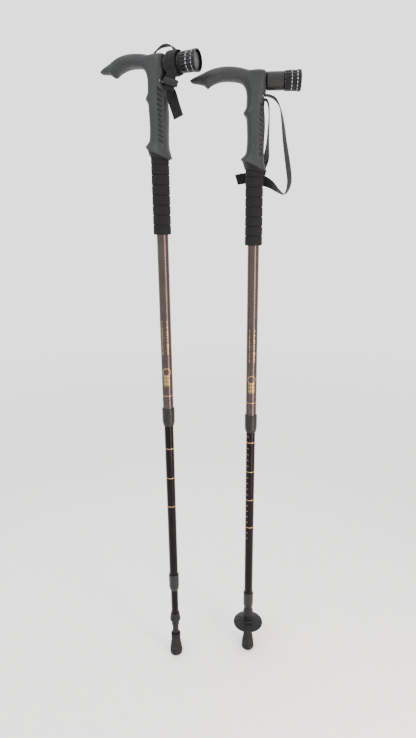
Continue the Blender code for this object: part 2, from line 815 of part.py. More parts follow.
def make_torch(pole, lamp):
    """Torch: body screwed into the handle, batteries, LED board, reflector, lens and head."""
    body_base = BOSS_FACE - SOCKET_DEPTH
    face = BOSS_FACE - 2.2 * MM + GAP
    cell_bore = BATTERY_RADIUS + GAP
    cell_base = BARREL_END + NECK_LENGTH - BATTERY_LENGTH - 3.0 * MM
    neck_top = BARREL_END + NECK_LENGTH
    body = [
        (cell_bore, neck_top),
        (cell_bore, cell_base - GAP),
        (0.0, cell_base - GAP),
    ]
    outside = [
        (0.0, body_base),
        (SPIGOT_RADIUS, body_base),
        (SPIGOT_RADIUS, face),
        (BARREL_RADIUS - 0.5 * MM, face),
        (BARREL_RADIUS, face + 0.6 * MM),
        (BARREL_RADIUS, BARREL_END),
        (NECK_RADIUS, BARREL_END),
        (NECK_RADIUS, neck_top),
    ]
    side = pole.side
    mesh = cup(f"{side}_torch_body", body, outside)
    make_object(f"{side}_torch_body", mesh, "black_metal", lamp)
    cells = [
        (0.0, cell_base + BATTERY_LENGTH),
        (BATTERY_RADIUS - 0.8 * MM, cell_base + BATTERY_LENGTH),
        (BATTERY_RADIUS, cell_base + BATTERY_LENGTH - 0.8 * MM),
        (BATTERY_RADIUS, cell_base),
        (0.0, cell_base),
    ]
    mesh = turned(f"{side}_torch_batteries", cells, FINE_STEPS)
    make_object(f"{side}_torch_batteries", mesh, "steel", lamp)
    make_torch_front(side, lamp, cell_base + BATTERY_LENGTH)


def make_torch_front(side, lamp, cells_end):
    """LED board, reflector, lens and the head that holds them and turns on the neck."""
    neck_top = BARREL_END + NECK_LENGTH
    board_base = max(neck_top, cells_end) + GAP
    board_top = board_base + BOARD_THICKNESS
    inner = HEAD_RIM_RADIUS - HEAD_WALL
    back_bore = NECK_RADIUS + GAP
    board = [
        (0.0, board_top + LED_RADIUS),
        (LED_RADIUS * 0.7, board_top + LED_RADIUS * 0.7),
        (LED_RADIUS, board_top),
        (back_bore - 2 * GAP, board_top),
        (back_bore - 2 * GAP, board_base),
        (0.0, board_base),
    ]
    mesh = turned(f"{side}_torch_led_board", board, FINE_STEPS)
    make_object(f"{side}_torch_led_board", mesh, "board", lamp)
    lens_base = HEAD_END - LENS_INSET - LENS_THICKNESS
    cone_base = board_top + GAP
    throat = LED_RADIUS + GAP
    mouth = inner - GAP - REFLECTOR_WALL
    reflector = [
        (throat, cone_base),
        (mouth * 0.8, (cone_base + lens_base) / 2),
        (mouth, lens_base - GAP),
        (mouth + REFLECTOR_WALL, lens_base - GAP),
        (mouth * 0.8 + REFLECTOR_WALL, (cone_base + lens_base) / 2 - REFLECTOR_WALL),
        (throat + REFLECTOR_WALL, cone_base),
    ]
    mesh = turned(f"{side}_torch_reflector", reflector)
    make_object(f"{side}_torch_reflector", mesh, "mirror", lamp)
    lens = [
        (0.0, lens_base + LENS_THICKNESS),
        (inner - GAP, lens_base + LENS_THICKNESS),
        (inner - GAP, lens_base),
        (0.0, lens_base),
    ]
    mesh = turned(f"{side}_torch_lens", lens)
    make_object(f"{side}_torch_lens", mesh, "lens", lamp)
    middle = (neck_top + HEAD_END) / 2
    head = [
        (inner, HEAD_END),
        (inner, cone_base),
        (back_bore, board_top + GAP / 2),
        (back_bore, BARREL_END + GAP),
        (HEAD_BACK_RADIUS - 0.8 * MM, BARREL_END + GAP),
        (HEAD_BACK_RADIUS, BARREL_END + 1.2 * MM),
        (HEAD_BACK_RADIUS + 0.4 * MM, neck_top),
        (HEAD_RIM_RADIUS - 0.7 * MM, middle),
        (HEAD_RIM_RADIUS, HEAD_END - 4.0 * MM),
        (HEAD_RIM_RADIUS, HEAD_END - 0.5 * MM),
        (HEAD_RIM_RADIUS - 0.5 * MM, HEAD_END),
    ]
    mesh = turned(f"{side}_torch_head", head, BIG_STEPS)
    make_object(f"{side}_torch_head", mesh, "black_metal", lamp)


def pin_turn():
    """The strap's way round the pin, from the upper ply to the lower one."""
    reach = (PIN_RADIUS + GAP + STRAP_THICKNESS / 2 + 0.1 * MM) / MM
    x, z = PIN_X / MM, -PIN_BELOW_TOP / MM
    angles = (90.0, 130.0, 180.0, 230.0, 270.0)
    return [
        (
            x + reach * math.cos(math.radians(a)),
            0.0,
            z + reach * math.sin(math.radians(a)),
            0.0,
            STRAP_ROW_HALF / MM,
            0.0,
        )
        for a in angles
    ]


def hanging_strap(side, head):
    """Wrist strap as it hangs: tail, lower fold, outer run, round the pin, inner run, end fold."""
    outer = [
        (-24.0, 15.9, -130.6, -2.0, 0.0, 6.7),
        (-10.0, 15.9, -128.6, -1.2, 0.0, 6.9),
        (2.0, 15.9, -129.3, 0.0, 0.0, 7.0),
        (14.0, 15.2, -132.5, 1.6, 1.6, 6.6),
        (24.0, 11.0, -138.0, 2.2, 4.4, 5.0),
        (33.5, 4.5, -146.5, 1.4, 6.4, 2.4),
        (40.5, 0.5, -150.8, 1.4, 6.8, 0.6),
        (45.0, -0.5, -145.0, 2.6, 6.5, 0.2),
        (47.0, -0.8, -134.0, 3.6, 6.0, 0.0),
        (45.6, -0.6, -121.0, 4.0, 5.7, 0.0),
        (42.4, -0.4, -102.0, 3.8, 5.9, 0.0),
        (39.0, -0.2, -82.0, 3.2, 6.2, 0.0),
        (36.0, 0.0, -61.0, 2.4, 6.6, 0.0),
        (32.4, 0.0, -45.0, 1.2, 6.9, 0.0),
        (26.0, 0.0, -34.4, 0.0, 7.0, 0.0),
        (18.6, 0.0, -30.4, 0.0, 7.0, 0.0),
        (13.0, 0.0, -29.5, 0.0, 7.0, 0.0),
    ]
    inner = [
        (13.2, 0.0, -34.6, 0.0, 7.0, 0.0),
        (16.2, 0.0, -38.0, 0.0, 7.0, 0.0),
        (17.8, 0.2, -46.0, 0.2, 7.0, 0.0),
        (18.2, 1.0, -58.0, 0.8, 6.9, 0.0),
        (17.8, 3.4, -74.0, 1.4, 6.8, 0.0),
        (17.4, 9.0, -90.0, 2.6, 6.4, 0.0),
        (16.2, 17.0, -103.0, 4.6, 5.2, 0.0),
        (12.0, 20.0, -111.0, 6.6, 2.2, 0.0),
        (9.0, 20.3, -117.0, 7.0, 0.0, 0.0),
    ]
    fold = [
        (9.0, 20.3, -129.3, 7.0, 0.0, 7.0),
        (9.7, 19.2, -130.0, 7.0, 0.0, 7.0),
        (9.0, 18.1, -129.3, 7.0, 0.0, 7.0),
        (0.5, 18.1, -129.3, 0.0, 0.0, 7.0),
        (-9.0, 18.1, -129.3, 0.0, 0.0, 7.0),
    ]
    rows = spline_row([*outer, *pin_turn(), *inner], STRAP_SMOOTHING) + [list(r) for r in fold]
    name = f"{side}_wrist_strap"
    make_object(name, ribbon(name, strap_rows(rows)), "webbing", head)
    make_slider(side, head, (-2.5 * MM, 17.0 * MM, -129.3 * MM), (0.0, 0.0, 0.0), 2)


def make_slider(side, head, place, rotation, plies):
    """Plastic strap slider: a flat loop round the plies, open along x."""
    half_height = STRAP_HALF_WIDTH + 4 * GAP
    half_depth = (plies * STRAP_THICKNESS + (plies - 1) * 0.9 * MM) / 2 + 3 * GAP
    half_length = SLIDER_LENGTH / 2
    name = f"{side}_strap_slider"
    low = (-half_length, -half_depth - SLIDER_WALL, -half_height - SLIDER_WALL)
    mesh = box_mesh(name, low, [-value for value in low])
    slider = make_object(name, mesh, "black_plastic", head, place, rotation)
    low = (-SLIDER_LENGTH, -half_depth, -half_height)
    window = box_mesh(f"{name}_window", low, [-value for value in low])
    apply_boolean(slider, make_guide(window.name, window, head, place, rotation))


def wound_strap(side, head):
    """Wrist strap wound round the torch barrel, with a loop over the boss and a hanging tail."""
    tail = [
        (27.4, 3.0, -73.5, 6.5, 0.5, 2.4),
        (22.6, 3.0, -60.0, 6.5, 0.5, 2.4),
        (18.6, 3.2, -48.5, 6.2, 1.8, 2.6),
        (16.9, 3.0, -41.5, 3.6, 5.4, 2.0),
        (15.9, 2.4, -37.4, 1.0, 6.9, 0.4),
        (13.2, 0.0, -34.6, 0.0, 7.0, 0.0),
    ]
    rise = [
        (13.2, 0.0, -29.4, 0.0, 7.0, 0.0),
        (17.0, 0.0, -28.4, 0.0, 7.0, 0.0),
        (21.0, 0.0, -26.4, 0.0, 6.6, 0.0),
        (24.0, 0.0, -25.6, 0.0, 6.0, 0.0),
    ]
    rows = [*tail, *reversed(pin_turn()), *rise]
    name = f"{side}_wrist_strap"
    mesh = ribbon(name, strap_rows(spline_row(rows, STRAP_SMOOTHING)))
    strap = make_object(name, mesh, "webbing", head)
    inside = BARREL_RADIUS + GAP
    outside = inside + 2 * STRAP_THICKNESS + GAP
    start = BOSS_FACE + 1.4 * MM
    end = start + 2 * STRAP_HALF_WIDTH
    winding = turned(f"{name}_winding", tube_profile(outside, outside - inside, start, end))
    place = (0.0, 0.0, -TORCH_BELOW_TOP)
    guide = make_guide(winding.name, winding, head, place, (0.0, math.pi / 2, 0.0))
    apply_boolean(strap, guide, "UNION")
    more = (outside - WINDING_ROW_RADIUS) / MM
    loop = [
        (22.0, 12.6 + more, -14.0, 0.0, 0.0, 5.0),
        (14.5, 16.6, -14.0, 0.0, 0.0, 6.6),
        (4.0, 19.5, -11.0, 0.0, 0.0, 7.0),
        (-7.0, 20.6, -8.0, 0.5, 0.0, 7.0),
        (-13.0, 18.6, -5.8, 0.5, 0.3, 7.0),
        (-15.6, 18.0, -2.4, 0.6, 0.5, 6.9),
        (-14.8, 16.8, 1.6, 0.8, 1.6, 6.8),
        (-9.6, 13.2, 5.6, 1.0, 4.4, 5.3),
        (-1.0, 8.4, 7.8, 0.6, 6.2, 3.0),
        (8.0, 3.8, 8.8, 0.0, 6.9, 1.0),
        (17.0, 1.4, 8.2, 0.0, 7.0, 0.2),
        (23.8, 0.4, 4.8, 0.0, 6.6, 0.0),
        (26.4, 0.0, -0.2 + more, 0.0, 5.6, 0.0),
    ]
    mesh = ribbon(f"{name}_loop", strap_rows(spline_row(loop, STRAP_SMOOTHING)))
    apply_boolean(strap, make_guide(mesh.name, mesh, head), "UNION")
    flap = [
        (27.0, -11.4 - more, -20.5 - more / 2, 6.4, 0.0, -1.0),
        (26.2, -11.2, -26.0, 6.5, 0.0, -1.8),
        (24.0, -10.0, -35.5, 6.5, 0.0, -2.6),
        (21.0, -9.0, -43.5, 6.5, 0.0, -2.6),
    ]
    mesh = ribbon(f"{name}_flap", strap_rows(spline_row(flap, STRAP_SMOOTHING)))
    apply_boolean(strap, make_guide(mesh.name, mesh, head), "UNION")
    slope = math.atan2(8.0, -3.0)
    make_slider(side, head, (24.1 * MM, -10.2 * MM, -35.4 * MM), (0.0, slope, 0.0), 1)


def build_pole(pole):
    """Every piece of one pole, from the foot up."""
    axis = make_empty(f"{pole.side}_pole_axis", pole.place)
    make_foot(pole, axis)
    make_tip(pole, axis)
    make_ferrule(pole, axis)
    if pole.has_basket:
        make_basket(pole, axis)
    lower_bottom = pole.lower_tube_bottom
    make_tube(
        pole, axis, "lower_tube", LOWER_TUBE_RADIUS, lower_bottom, LOWER_TUBE_LENGTH, "black_tube"
    )
    make_lower_lock(pole, axis)
    middle_bottom = pole.lower_collar_bottom + COLLAR_LIP
    make_tube(
        pole,
        axis,
        "middle_tube",
        MIDDLE_TUBE_RADIUS,
        middle_bottom,
        MIDDLE_TUBE_LENGTH,
        "black_tube",
    )
    make_collar(
        pole,
        axis,
        "lower_collar",
        MIDDLE_TUBE_RADIUS,
        LOWER_TUBE_RADIUS,
        pole.lower_collar_bottom,
        LOWER_COLLAR_LENGTH,
        "grey_plastic",
    )
    make_shock_absorber(pole, axis)
    make_upper_lock(pole, axis)
    upper_bottom = pole.upper_collar_bottom + COLLAR_LIP
    make_tube(
        pole, axis, "upper_tube", UPPER_TUBE_RADIUS, upper_bottom, UPPER_TUBE_LENGTH, "bronze_tube"
    )
    make_collar(
        pole,
        axis,
        "upper_collar",
        UPPER_TUBE_RADIUS,
        MIDDLE_TUBE_RADIUS,
        pole.upper_collar_bottom,
        UPPER_COLLAR_LENGTH,
        "grey_plastic",
    )
    make_foam(pole, axis)
    turn = (0.0, 0.0, pole.yaw)
    head = make_empty(f"{pole.side}_handle_frame", (0.0, 0.0, pole.top), axis, turn)
    make_handle(pole, head)
    make_pin(pole, head)
    lamp_place = (0.0, 0.0, -TORCH_BELOW_TOP)
    lamp = make_empty(f"{pole.side}_torch_axis", lamp_place, head, (0.0, math.pi / 2, 0.0))
    make_torch(pole, lamp)
    if pole.has_basket:
        hanging_strap(pole.side, head)
    else:
        wound_strap(pole.side, head)


def main():
    """Builds the pair."""
    clear_scene()
    for pole in (LEFT, RIGHT):
        build_pole(pole)


main()
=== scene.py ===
"""Looks of a pair of trekking poles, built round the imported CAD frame.

Each visible piece is a fine surface worked out with numpy: a profile turned about an axis, a run of
sections skinned lengthwise, or a ribbon along a path. Heights come from the frame's own boxes.
"""

import logging
import math
from dataclasses import dataclass
from enum import Enum
from typing import Callable, Mapping, Optional, Sequence

import bpy
import numpy as np
from mathutils import Euler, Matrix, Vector

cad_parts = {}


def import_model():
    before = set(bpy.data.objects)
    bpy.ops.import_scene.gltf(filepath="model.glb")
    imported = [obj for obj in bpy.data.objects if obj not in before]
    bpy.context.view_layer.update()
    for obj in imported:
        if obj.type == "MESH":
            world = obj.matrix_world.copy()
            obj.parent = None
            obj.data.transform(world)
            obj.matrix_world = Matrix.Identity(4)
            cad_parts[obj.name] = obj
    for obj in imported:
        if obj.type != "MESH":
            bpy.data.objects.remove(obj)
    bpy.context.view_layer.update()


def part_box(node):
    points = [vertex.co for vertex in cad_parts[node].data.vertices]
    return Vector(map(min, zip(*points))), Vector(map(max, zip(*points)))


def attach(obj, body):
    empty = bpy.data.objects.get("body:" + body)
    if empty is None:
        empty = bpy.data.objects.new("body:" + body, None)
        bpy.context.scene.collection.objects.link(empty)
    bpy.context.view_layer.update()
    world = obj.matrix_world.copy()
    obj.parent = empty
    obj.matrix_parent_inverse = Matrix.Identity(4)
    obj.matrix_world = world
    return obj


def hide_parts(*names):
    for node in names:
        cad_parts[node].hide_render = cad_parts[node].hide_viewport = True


LOG = logging.getLogger("trekking_poles")
MM = 0.001
Array = np.ndarray
Ripple = Callable[[Array, Array, Array], tuple[Array, Array]]
RIBBON_SIDES = 40
RIBBON_POWERS = (0.35, 0.8)  # how square the webbing's section is, across and through


# Surfaces


@dataclass(frozen=True)
class Placement:
    """Where a piece's own frame stands in the row frame.

    Attributes:
        origin: the piece's origin, in metres.
        axes: a 3x3 matrix whose columns are the piece's x, y and z.
    """

    origin: tuple[float, float, float]
    axes: Array

    def to_row(self, points: Array) -> Array:
        """Points of the piece's frame in the row frame."""
        return points @ self.axes.T + np.array(self.origin)

    def moved(self, offset: Sequence[float]) -> "Placement":
        """The same axes at a place that is offset in the piece's own frame."""
        return Placement(tuple(self.to_row(np.array(offset))), self.axes)


def turn_about_z(angle: float) -> Array:
    """The matrix that turns about Z."""
    c, s = math.cos(angle), math.sin(angle)
    return np.array([[c, -s, 0.0], [s, c, 0.0], [0.0, 0.0, 1.0]])


ALONG_X = np.array([[0.0, 0.0, 1.0], [0.0, 1.0, 0.0], [-1.0, 0.0, 0.0]])


def smoothstep(low: float, high: float, value: Array) -> Array:
    """A smooth ramp: 3t^2 - 2t^3, where t runs from 0 at low to 1 at high."""
    t = np.clip((value - low) / (high - low), 0.0, 1.0)
    return t * t * (3.0 - 2.0 * t)


def rounded(corners: Sequence[Sequence[float]], radius: float, steps: int = 5) -> Array:
    """A polyline with each inner corner rounded by a quadratic arc.

    The arc starts and ends at the radius from the corner, or at 0.45 of the shorter side beside it.

    Args:
        corners: the line's points.
        radius: how far from a corner its arc starts, in metres.
        steps: points on each arc.

    Returns:
        The rounded line's points.
    """
    line = np.array(corners, float)
    before, middle, after = line[:-2], line[1:-1], line[2:]
    back, on = before - middle, after - middle
    reach_back, reach_on = np.linalg.norm(back, axis=1), np.linalg.norm(on, axis=1)
    reach = np.minimum(radius, 0.45 * np.minimum(reach_back, reach_on))
    start = middle + back * (reach / reach_back)[:, None]
    end = middle + on * (reach / reach_on)[:, None]
    t = np.linspace(0.0, 1.0, steps)[None, :, None]
    arcs = start[:, None] * (1 - t) ** 2 + middle[:, None] * 2 * t * (1 - t) + end[:, None] * t**2
    return np.vstack([line[:1], arcs.reshape(-1, line.shape[1]), line[-1:]])


def refined(line: Array, pitch: float) -> Array:
    """A polyline with points added so that no step is longer than the pitch.

    Args:
        line: the points.
        pitch: the longest step, in metres.

    Returns:
        The points with the added ones between them.
    """
    lengths = np.linalg.norm(np.diff(line, axis=0), axis=1)
    counts = np.maximum(1, np.ceil(lengths / pitch)).astype(int)
    segment = np.repeat(np.arange(len(counts)), counts)
    share = np.concatenate([np.arange(n) / n for n in counts])[:, None]
    made = line[segment] * (1 - share) + line[segment + 1] * share
    return np.vstack([made, line[-1:]])


def catmull_rom(rows: Array, steps: int) -> Array:
    """Rows joined by a Catmull-Rom spline, which passes through each of them.

    Args:
        rows: one row per station.
        steps: points per stretch between two stations.

    Returns:
        The finer rows.
    """
    rows = np.array(rows, float)
    padded = np.vstack([2 * rows[0] - rows[1], rows, 2 * rows[-1] - rows[-2]])
    a, b, c, d = padded[:-3], padded[1:-2], padded[2:-1], padded[3:]
    t = (np.arange(steps) / steps)[None, :, None]
    a, b, c, d = a[:, None], b[:, None], c[:, None], d[:, None]
    made = 0.5 * (
        2 * b
        + (c - a) * t
        + (2 * a - 5 * b + 4 * c - d) * t**2
        + (3 * b - a - 3 * c + d) * t**3
    )
    return np.vstack([made.reshape(-1, rows.shape[1]), rows[-1:]])


def surface(
    name: str,
    grid: Array,
    uv: Optional[Array] = None,
    closed: bool = False,
    poles: tuple[Optional[Array], Optional[Array]] = (None, None),
    crease: Optional[Array] = None,
) -> bpy.types.Object:
    """A closed mesh from a grid of points whose columns run round the piece.

    Args:
        name: the object's name.
        grid: rows x columns x 3 points, in the row frame.
        uv: rows x (columns + 1) x 2, in metres over the surface.
        closed: whether the last row joins the first, as on a ring.
        poles: a point that closes the first row, and one that closes the last.
        crease: rows x columns, from 0 to 1, how much painted shade each point gets, kept as a mesh
            attribute of that name.

    Returns:
        The object, in the scene, with its faces pointing out.
    """
    rows, columns = grid.shape[:2]
    points = [grid.reshape(-1, 3)]
    index = np.arange(rows * columns).reshape(rows, columns)
    low = index if closed else index[:-1]
    high = np.roll(index, -1, axis=0) if closed else index[1:]
    quads = np.stack([low, np.roll(low, -1, 1), np.roll(high, -1, 1), high], -1).reshape(-1, 4)
    fans = []
    count = rows * columns
    for pole, ring, order in ((poles[0], index[0], 1), (poles[1], index[-1], -1)):
        if pole is not None:
            points.append(np.array(pole, float).reshape(1, 3))
            fan = np.stack([np.full(columns, count), np.roll(ring, -1), ring], -1)
            fans.append(fan[:, ::order])
            count += 1
    vertices = np.vstack(points)
    corner = vertices[np.vstack([quads[:, :3], quads[:, [0, 2, 3]], *fans])]
    volume = (corner[:, 0] * np.cross(corner[:, 1], corner[:, 2])).sum()
    if volume < 0.0:
        quads = quads[:, ::-1]
        fans = [fan[:, ::-1] for fan in fans]
    loops = np.concatenate([quads.ravel(), *[fan.ravel() for fan in fans]])
    sizes = np.concatenate([np.full(len(quads), 4), np.full(sum(map(len, fans)), 3)])
    mesh = bpy.data.meshes.new(name)
    mesh.vertices.add(len(vertices))
    mesh.vertices.foreach_set("co", vertices.astype(np.float32).ravel())
    mesh.loops.add(len(loops))
    mesh.loops.foreach_set("vertex_index", loops.astype(np.int32))
    mesh.polygons.add(len(sizes))
    starts = np.concatenate([[0], np.cumsum(sizes)[:-1]])
    mesh.polygons.foreach_set("loop_start", starts.astype(np.int32))
    mesh.polygons.foreach_set("use_smooth", np.ones(len(sizes), bool))
    mesh.update(calc_edges=True)
    if uv is not None:
        corners = np.stack([uv[:-1, :-1], uv[:-1, 1:], uv[1:, 1:], uv[1:, :-1]], 2)
        if closed:
            wrap = np.stack([uv[-1:, :-1], uv[-1:, 1:], uv[:1, 1:], uv[:1, :-1]], 2)
            corners = np.concatenate([corners, wrap])
        flat = corners.reshape(-1, 4, 2)
        if volume < 0.0:
            flat = flat[:, ::-1]
        rims = []
        for pole, row in ((poles[0], uv[0]), (poles[1], uv[-1])):
            if pole is not None:
                rims.append(np.repeat(row[:-1].mean(0)[None], 3 * columns, axis=0))
        layer = mesh.uv_layers.new(name="surface")
        values = np.vstack([flat.reshape(-1, 2), *rims])
        layer.data.foreach_set("uv", values.astype(np.float32).ravel())
    # Painted shade that a material darkens each point by.
    if crease is not None:
        attribute = mesh.attributes.new("crease", "FLOAT", "POINT")
        values = np.zeros(len(vertices), np.float32)
        values[: rows * columns] = crease.ravel()
        attribute.data.foreach_set("value", values)
    mesh.validate()
    made = bpy.data.objects.new(name, mesh)
    bpy.context.scene.collection.objects.link(made)
    return made


def squarish(angle: Array, wide: float | Array, deep: float | Array) -> tuple[Array, Array]:
    """A squared-off circle: |cos a| and |sin a| raised to the two powers, with their signs kept."""
    c, s = np.cos(angle), np.sin(angle)
    return np.sign(c) * np.abs(c) ** wide, np.sign(s) * np.abs(s) ** deep


def angles(sides: int) -> Array:
    """Evenly spaced angles round a circle, from 0, without the last."""
    return np.linspace(0.0, math.tau, sides, endpoint=False)


def turned(
    name: str,
    profile: Array,
    place: Placement,
    sides: int = 64,
    ripple: Optional[Ripple] = None,
    zero: float = 0.0,
    front: float = -math.pi / 2,
) -> bpy.types.Object:
    """A profile turned about its own z: x = r cos a, y = r sin a, z = h.

    A profile that touches the axis at an end is closed by a pole there, and one that doesn't is
    closed on itself as a ring. The UV map holds the arc from the front and the height from zero.

    Args:
        name: the object's name.
        profile: rows of radius and height.
        place: the profile's frame.
        sides: columns round the axis.
        ripple: gives what is added to radius and height at (angle, radius, height).
        zero: the height where the UV map's v is 0.
        front: the angle where the UV map's u is 0.

    Returns:
        The object.
    """
    profile = np.array(profile, float)
    on_axis = (profile[0, 0] < 1e-7, profile[-1, 0] < 1e-7)
    ends = [place.to_row(np.array([0.0, 0.0, row[1]])) for row in (profile[0], profile[-1])]
    body = profile[1 if on_axis[0] else 0 : -1 if on_axis[1] else None]
    angle = angles(sides)[None, :]
    radius, height = np.repeat(body[:, :1], sides, 1), np.repeat(body[:, 1:], sides, 1)
    if ripple is not None:
        more_radius, more_height = ripple(angle, radius, height)
        radius, height = radius + more_radius, height + more_height
    grid = np.stack([radius * np.cos(angle), radius * np.sin(angle), height], -1)
    around = np.append(angles(sides), math.tau)[None, :] - front
    around = (around + math.pi) % math.tau - math.pi
    around[:, 1:] = np.where(around[:, 1:] < around[:, :-1] - 1.0, math.pi, around[:, 1:])
    arc = around * body[:, :1]
    v = np.repeat(body[:, 1:] - zero, sides + 1, 1)
    closed = not any(on_axis)
    poles = tuple(end if touches else None for end, touches in zip(ends, on_axis))
    return surface(name, place.to_row(grid), np.stack([arc, v], -1), closed, poles)


def ribbon(name: str, rows: Array, thickness: float, place: Placement) -> bpy.types.Object:
    """A woven strap along a path: a flat section with rounded edges, carried from row to row.

    At each row the section is centre + width * |cos a|^0.35 + normal * |sin a|^0.8, where the
    normal is square to the path and to the width. The UV map holds the place across and along.

    Args:
        name: the object's name.
        rows: rows of centre x, y, z and half-width vector x, y, z, in metres.
        thickness: of the webbing.
        place: the rows' frame.

    Returns:
        The object.
    """
    centre, width = rows[:, :3], rows[:, 3:]
    tangent = np.gradient(centre, axis=0)
    normal = np.cross(tangent, width)
    normal /= np.linalg.norm(normal, axis=1, keepdims=True)
    across, deep = squarish(angles(RIBBON_SIDES), *RIBBON_POWERS)
    half = thickness / 2
    grid = (
        centre[:, None]
        + width[:, None] * across[None, :, None]
        + normal[:, None] * (deep * half)[None, :, None]
    )
    steps = np.linalg.norm(np.diff(centre, axis=0), axis=1)
    along = np.concatenate([[0.0], np.cumsum(steps)])
    reach = np.linalg.norm(width, axis=1)
    u = np.append(across, across[0])[None, :] * reach[:, None]
    v = np.repeat(along[:, None], RIBBON_SIDES + 1, 1)
    poles = (place.to_row(centre[0]), place.to_row(centre[-1]))
    return surface(name, place.to_row(grid), np.stack([u, v], -1), poles=poles)


def joined(name: str, pieces: Sequence[bpy.types.Object]) -> bpy.types.Object:
    """Several objects made into one mesh.

    Args:
        name: the name that the one object gets.
        pieces: the objects, the first of which is kept.

    Returns:
        The one object.
    """
    with bpy.context.temp_override(
        active_object=pieces[0], selected_editable_objects=list(pieces)
    ):
        bpy.ops.object.join()
    pieces[0].name = name
    return pieces[0]


# Materials


def srgb(code: str) -> tuple[float, float, float, float]:
    """A colour written as #rrggbb, as a linear colour.

    Args:
        code: the sRGB hex code.

    Returns:
        Red, green, blue and alpha.
    """
    parts = [int(code[i : i + 2], 16) / 255 for i in (1, 3, 5)]
    linear = [p / 12.92 if p <= 0.04045 else ((p + 0.055) / 1.055) ** 2.4 for p in parts]
    return (*linear, 1.0)


class Graph:
    """A material's nodes, added one by one."""

    def __init__(self, name: str) -> None:
        """Starts a material whose one shader is a Principled one.

        Args:
            name: the material's name.
        """
        self.material = bpy.data.materials.new(name)
        self.material.use_nodes = True
        self.tree = self.material.node_tree
        self.shader = self.tree.nodes["Principled BSDF"]

    def add(self, kind: str, inputs: Mapping = {}, **settings: object) -> bpy.types.Node:
        """Adds a node, sets it and links it.

        Args:
            kind: the node's type.
            inputs: values or sockets by the input's name or number.
            settings: the node's own properties.

        Returns:
            The node.
        """
        node = self.tree.nodes.new(kind)
        for key, value in settings.items():
            setattr(node, key, value)
        self.feed(node, inputs)
        return node

    def feed(self, node: bpy.types.Node, inputs: Mapping) -> None:
        """Sets or links a node's inputs.

        Args:
            node: the node.
            inputs: values or sockets by the input's name or number.
        """
        for key, value in inputs.items():
            if isinstance(value, bpy.types.NodeSocket):
                self.tree.links.new(value, node.inputs[key])
            else:
                node.inputs[key].default_value = value

    def sum_of(self, operation: str, *values: object) -> bpy.types.NodeSocket:
        """One arithmetic step."""
        node = self.add("ShaderNodeMath", dict(enumerate(values)), operation=operation)
        return node.outputs[0]

    def mix(self, factor: object, first: object, second: object) -> bpy.types.NodeSocket:
        """Two colours mixed."""
        node = self.add("ShaderNodeMix", {0: factor, 6: first, 7: second}, data_type="RGBA")
        return node.outputs[2]


@dataclass(frozen=True)
class Finish:
    """A plain finish: two tones spread by a soft cloud, and a fine grain in the surface.

    Attributes:
        name: the real material.
        colour: its main tone, sRGB hex.
        tone: its other tone, sRGB hex.
        roughness: of the main tone.
        spread: how far roughness varies.
        metallic: 1 for bare or anodised metal.
        grain: the grain's size in millimetres.
        relief: the grain's depth in millimetres.
        coat: strength of a clear gloss over it.
        sheen: strength of the dusty edge glow.
        specular: how strongly a surface that isn't metal mirrors, 0.5 for a solid polymer.
    """

    name: str
    colour: str
    tone: str
    roughness: float
    spread: float = 0.08
    metallic: float = 0.0
    grain: float = 0.6
    relief: float = 0.02
    coat: float = 0.0
    sheen: float = 0.0
    specular: float = 0.5

    def graph(self) -> tuple[Graph, bpy.types.NodeSocket, bpy.types.NodeSocket]:
        """Builds the finish's nodes.

        Returns:
            The graph, the colour's socket and the Bump node's normal, for a material to add to.
        """
        graph = Graph(self.name)
        place = graph.add("ShaderNodeTexCoord").outputs["Object"]
        cloud = graph.add(
            "ShaderNodeTexNoise", {"Vector": place, "Scale": 45.0, "Detail": 5.0}
        ).outputs["Fac"]
        share = graph.add(
            "ShaderNodeMapRange", {"Value": cloud, "From Min": 0.35, "From Max": 0.7}
        ).outputs[0]
        colour = graph.mix(share, srgb(self.colour), srgb(self.tone))
        rough = graph.add(
            "ShaderNodeMapRange",
            {
                "Value": cloud,
                "From Min": 0.3,
                "From Max": 0.7,
                "To Min": self.roughness - self.spread,
                "To Max": self.roughness + self.spread,
            },
        ).outputs[0]
        grain = graph.add(
            "ShaderNodeTexNoise",
            {"Vector": place, "Scale": 1000.0 / self.grain, "Detail": 3.0, "Roughness": 0.6},
        ).outputs["Fac"]
        bump = graph.add(
            "ShaderNodeBump",
            {"Height": grain, "Strength": 1.0, "Distance": self.relief * MM},
        ).outputs["Normal"]
        graph.feed(
            graph.shader,
            {
                "Base Color": colour,
                "Roughness": rough,
                "Normal": bump,
                "Metallic": self.metallic,
                "Coat Weight": self.coat,
                "Sheen Weight": self.sheen,
                "Specular IOR Level": self.specular,
            },
        )
        return graph, colour, bump

    def material(self) -> bpy.types.Material:
        """The finished material."""
        return self.graph()[0].material


FOOT_RUBBER = Finish(
    "vulcanised_rubber", "#0e0e10", "#151414", 0.78, grain=0.5, relief=0.05, specular=0.2
)
STEEL = Finish("ground_steel", "#9a9a9c", "#86868a", 0.3, metallic=1.0, grain=0.2, relief=0.006)
BLACK_PLASTIC = Finish(
    "black_nylon", "#0b0b0d", "#0f0f11", 0.5, grain=0.35, relief=0.012, specular=0.2
)
LOCK_NYLON = Finish("natural_nylon", "#d8d6cc", "#cbc8ba", 0.45, grain=0.5, relief=0.01)
COLLAR_PLASTIC = Finish(
    "collar_nylon", "#0f0f11", "#0c0c0e", 0.42, grain=0.3, relief=0.02, specular=0.25
)
GRIP_RUBBER = Finish(
    "moulded_grip_rubber", "#151819", "#191d1e", 0.55, grain=0.45, relief=0.04, specular=0.3
)
EVA_FOAM = Finish(
    "eva_foam", "#0a0a0b", "#0f0f10", 0.93, 0.04, grain=0.5, relief=0.12, specular=0.25
)
BRONZE = Finish("bronze_anodised_aluminium", "#4a403d", "#433a37", 0.22, 0.04, 1.0, relief=0.002)
BLACK_TUBE = Finish("black_anodised_aluminium", "#211c1e", "#1b1719", 0.2, 0.04, 1.0, relief=0.002)
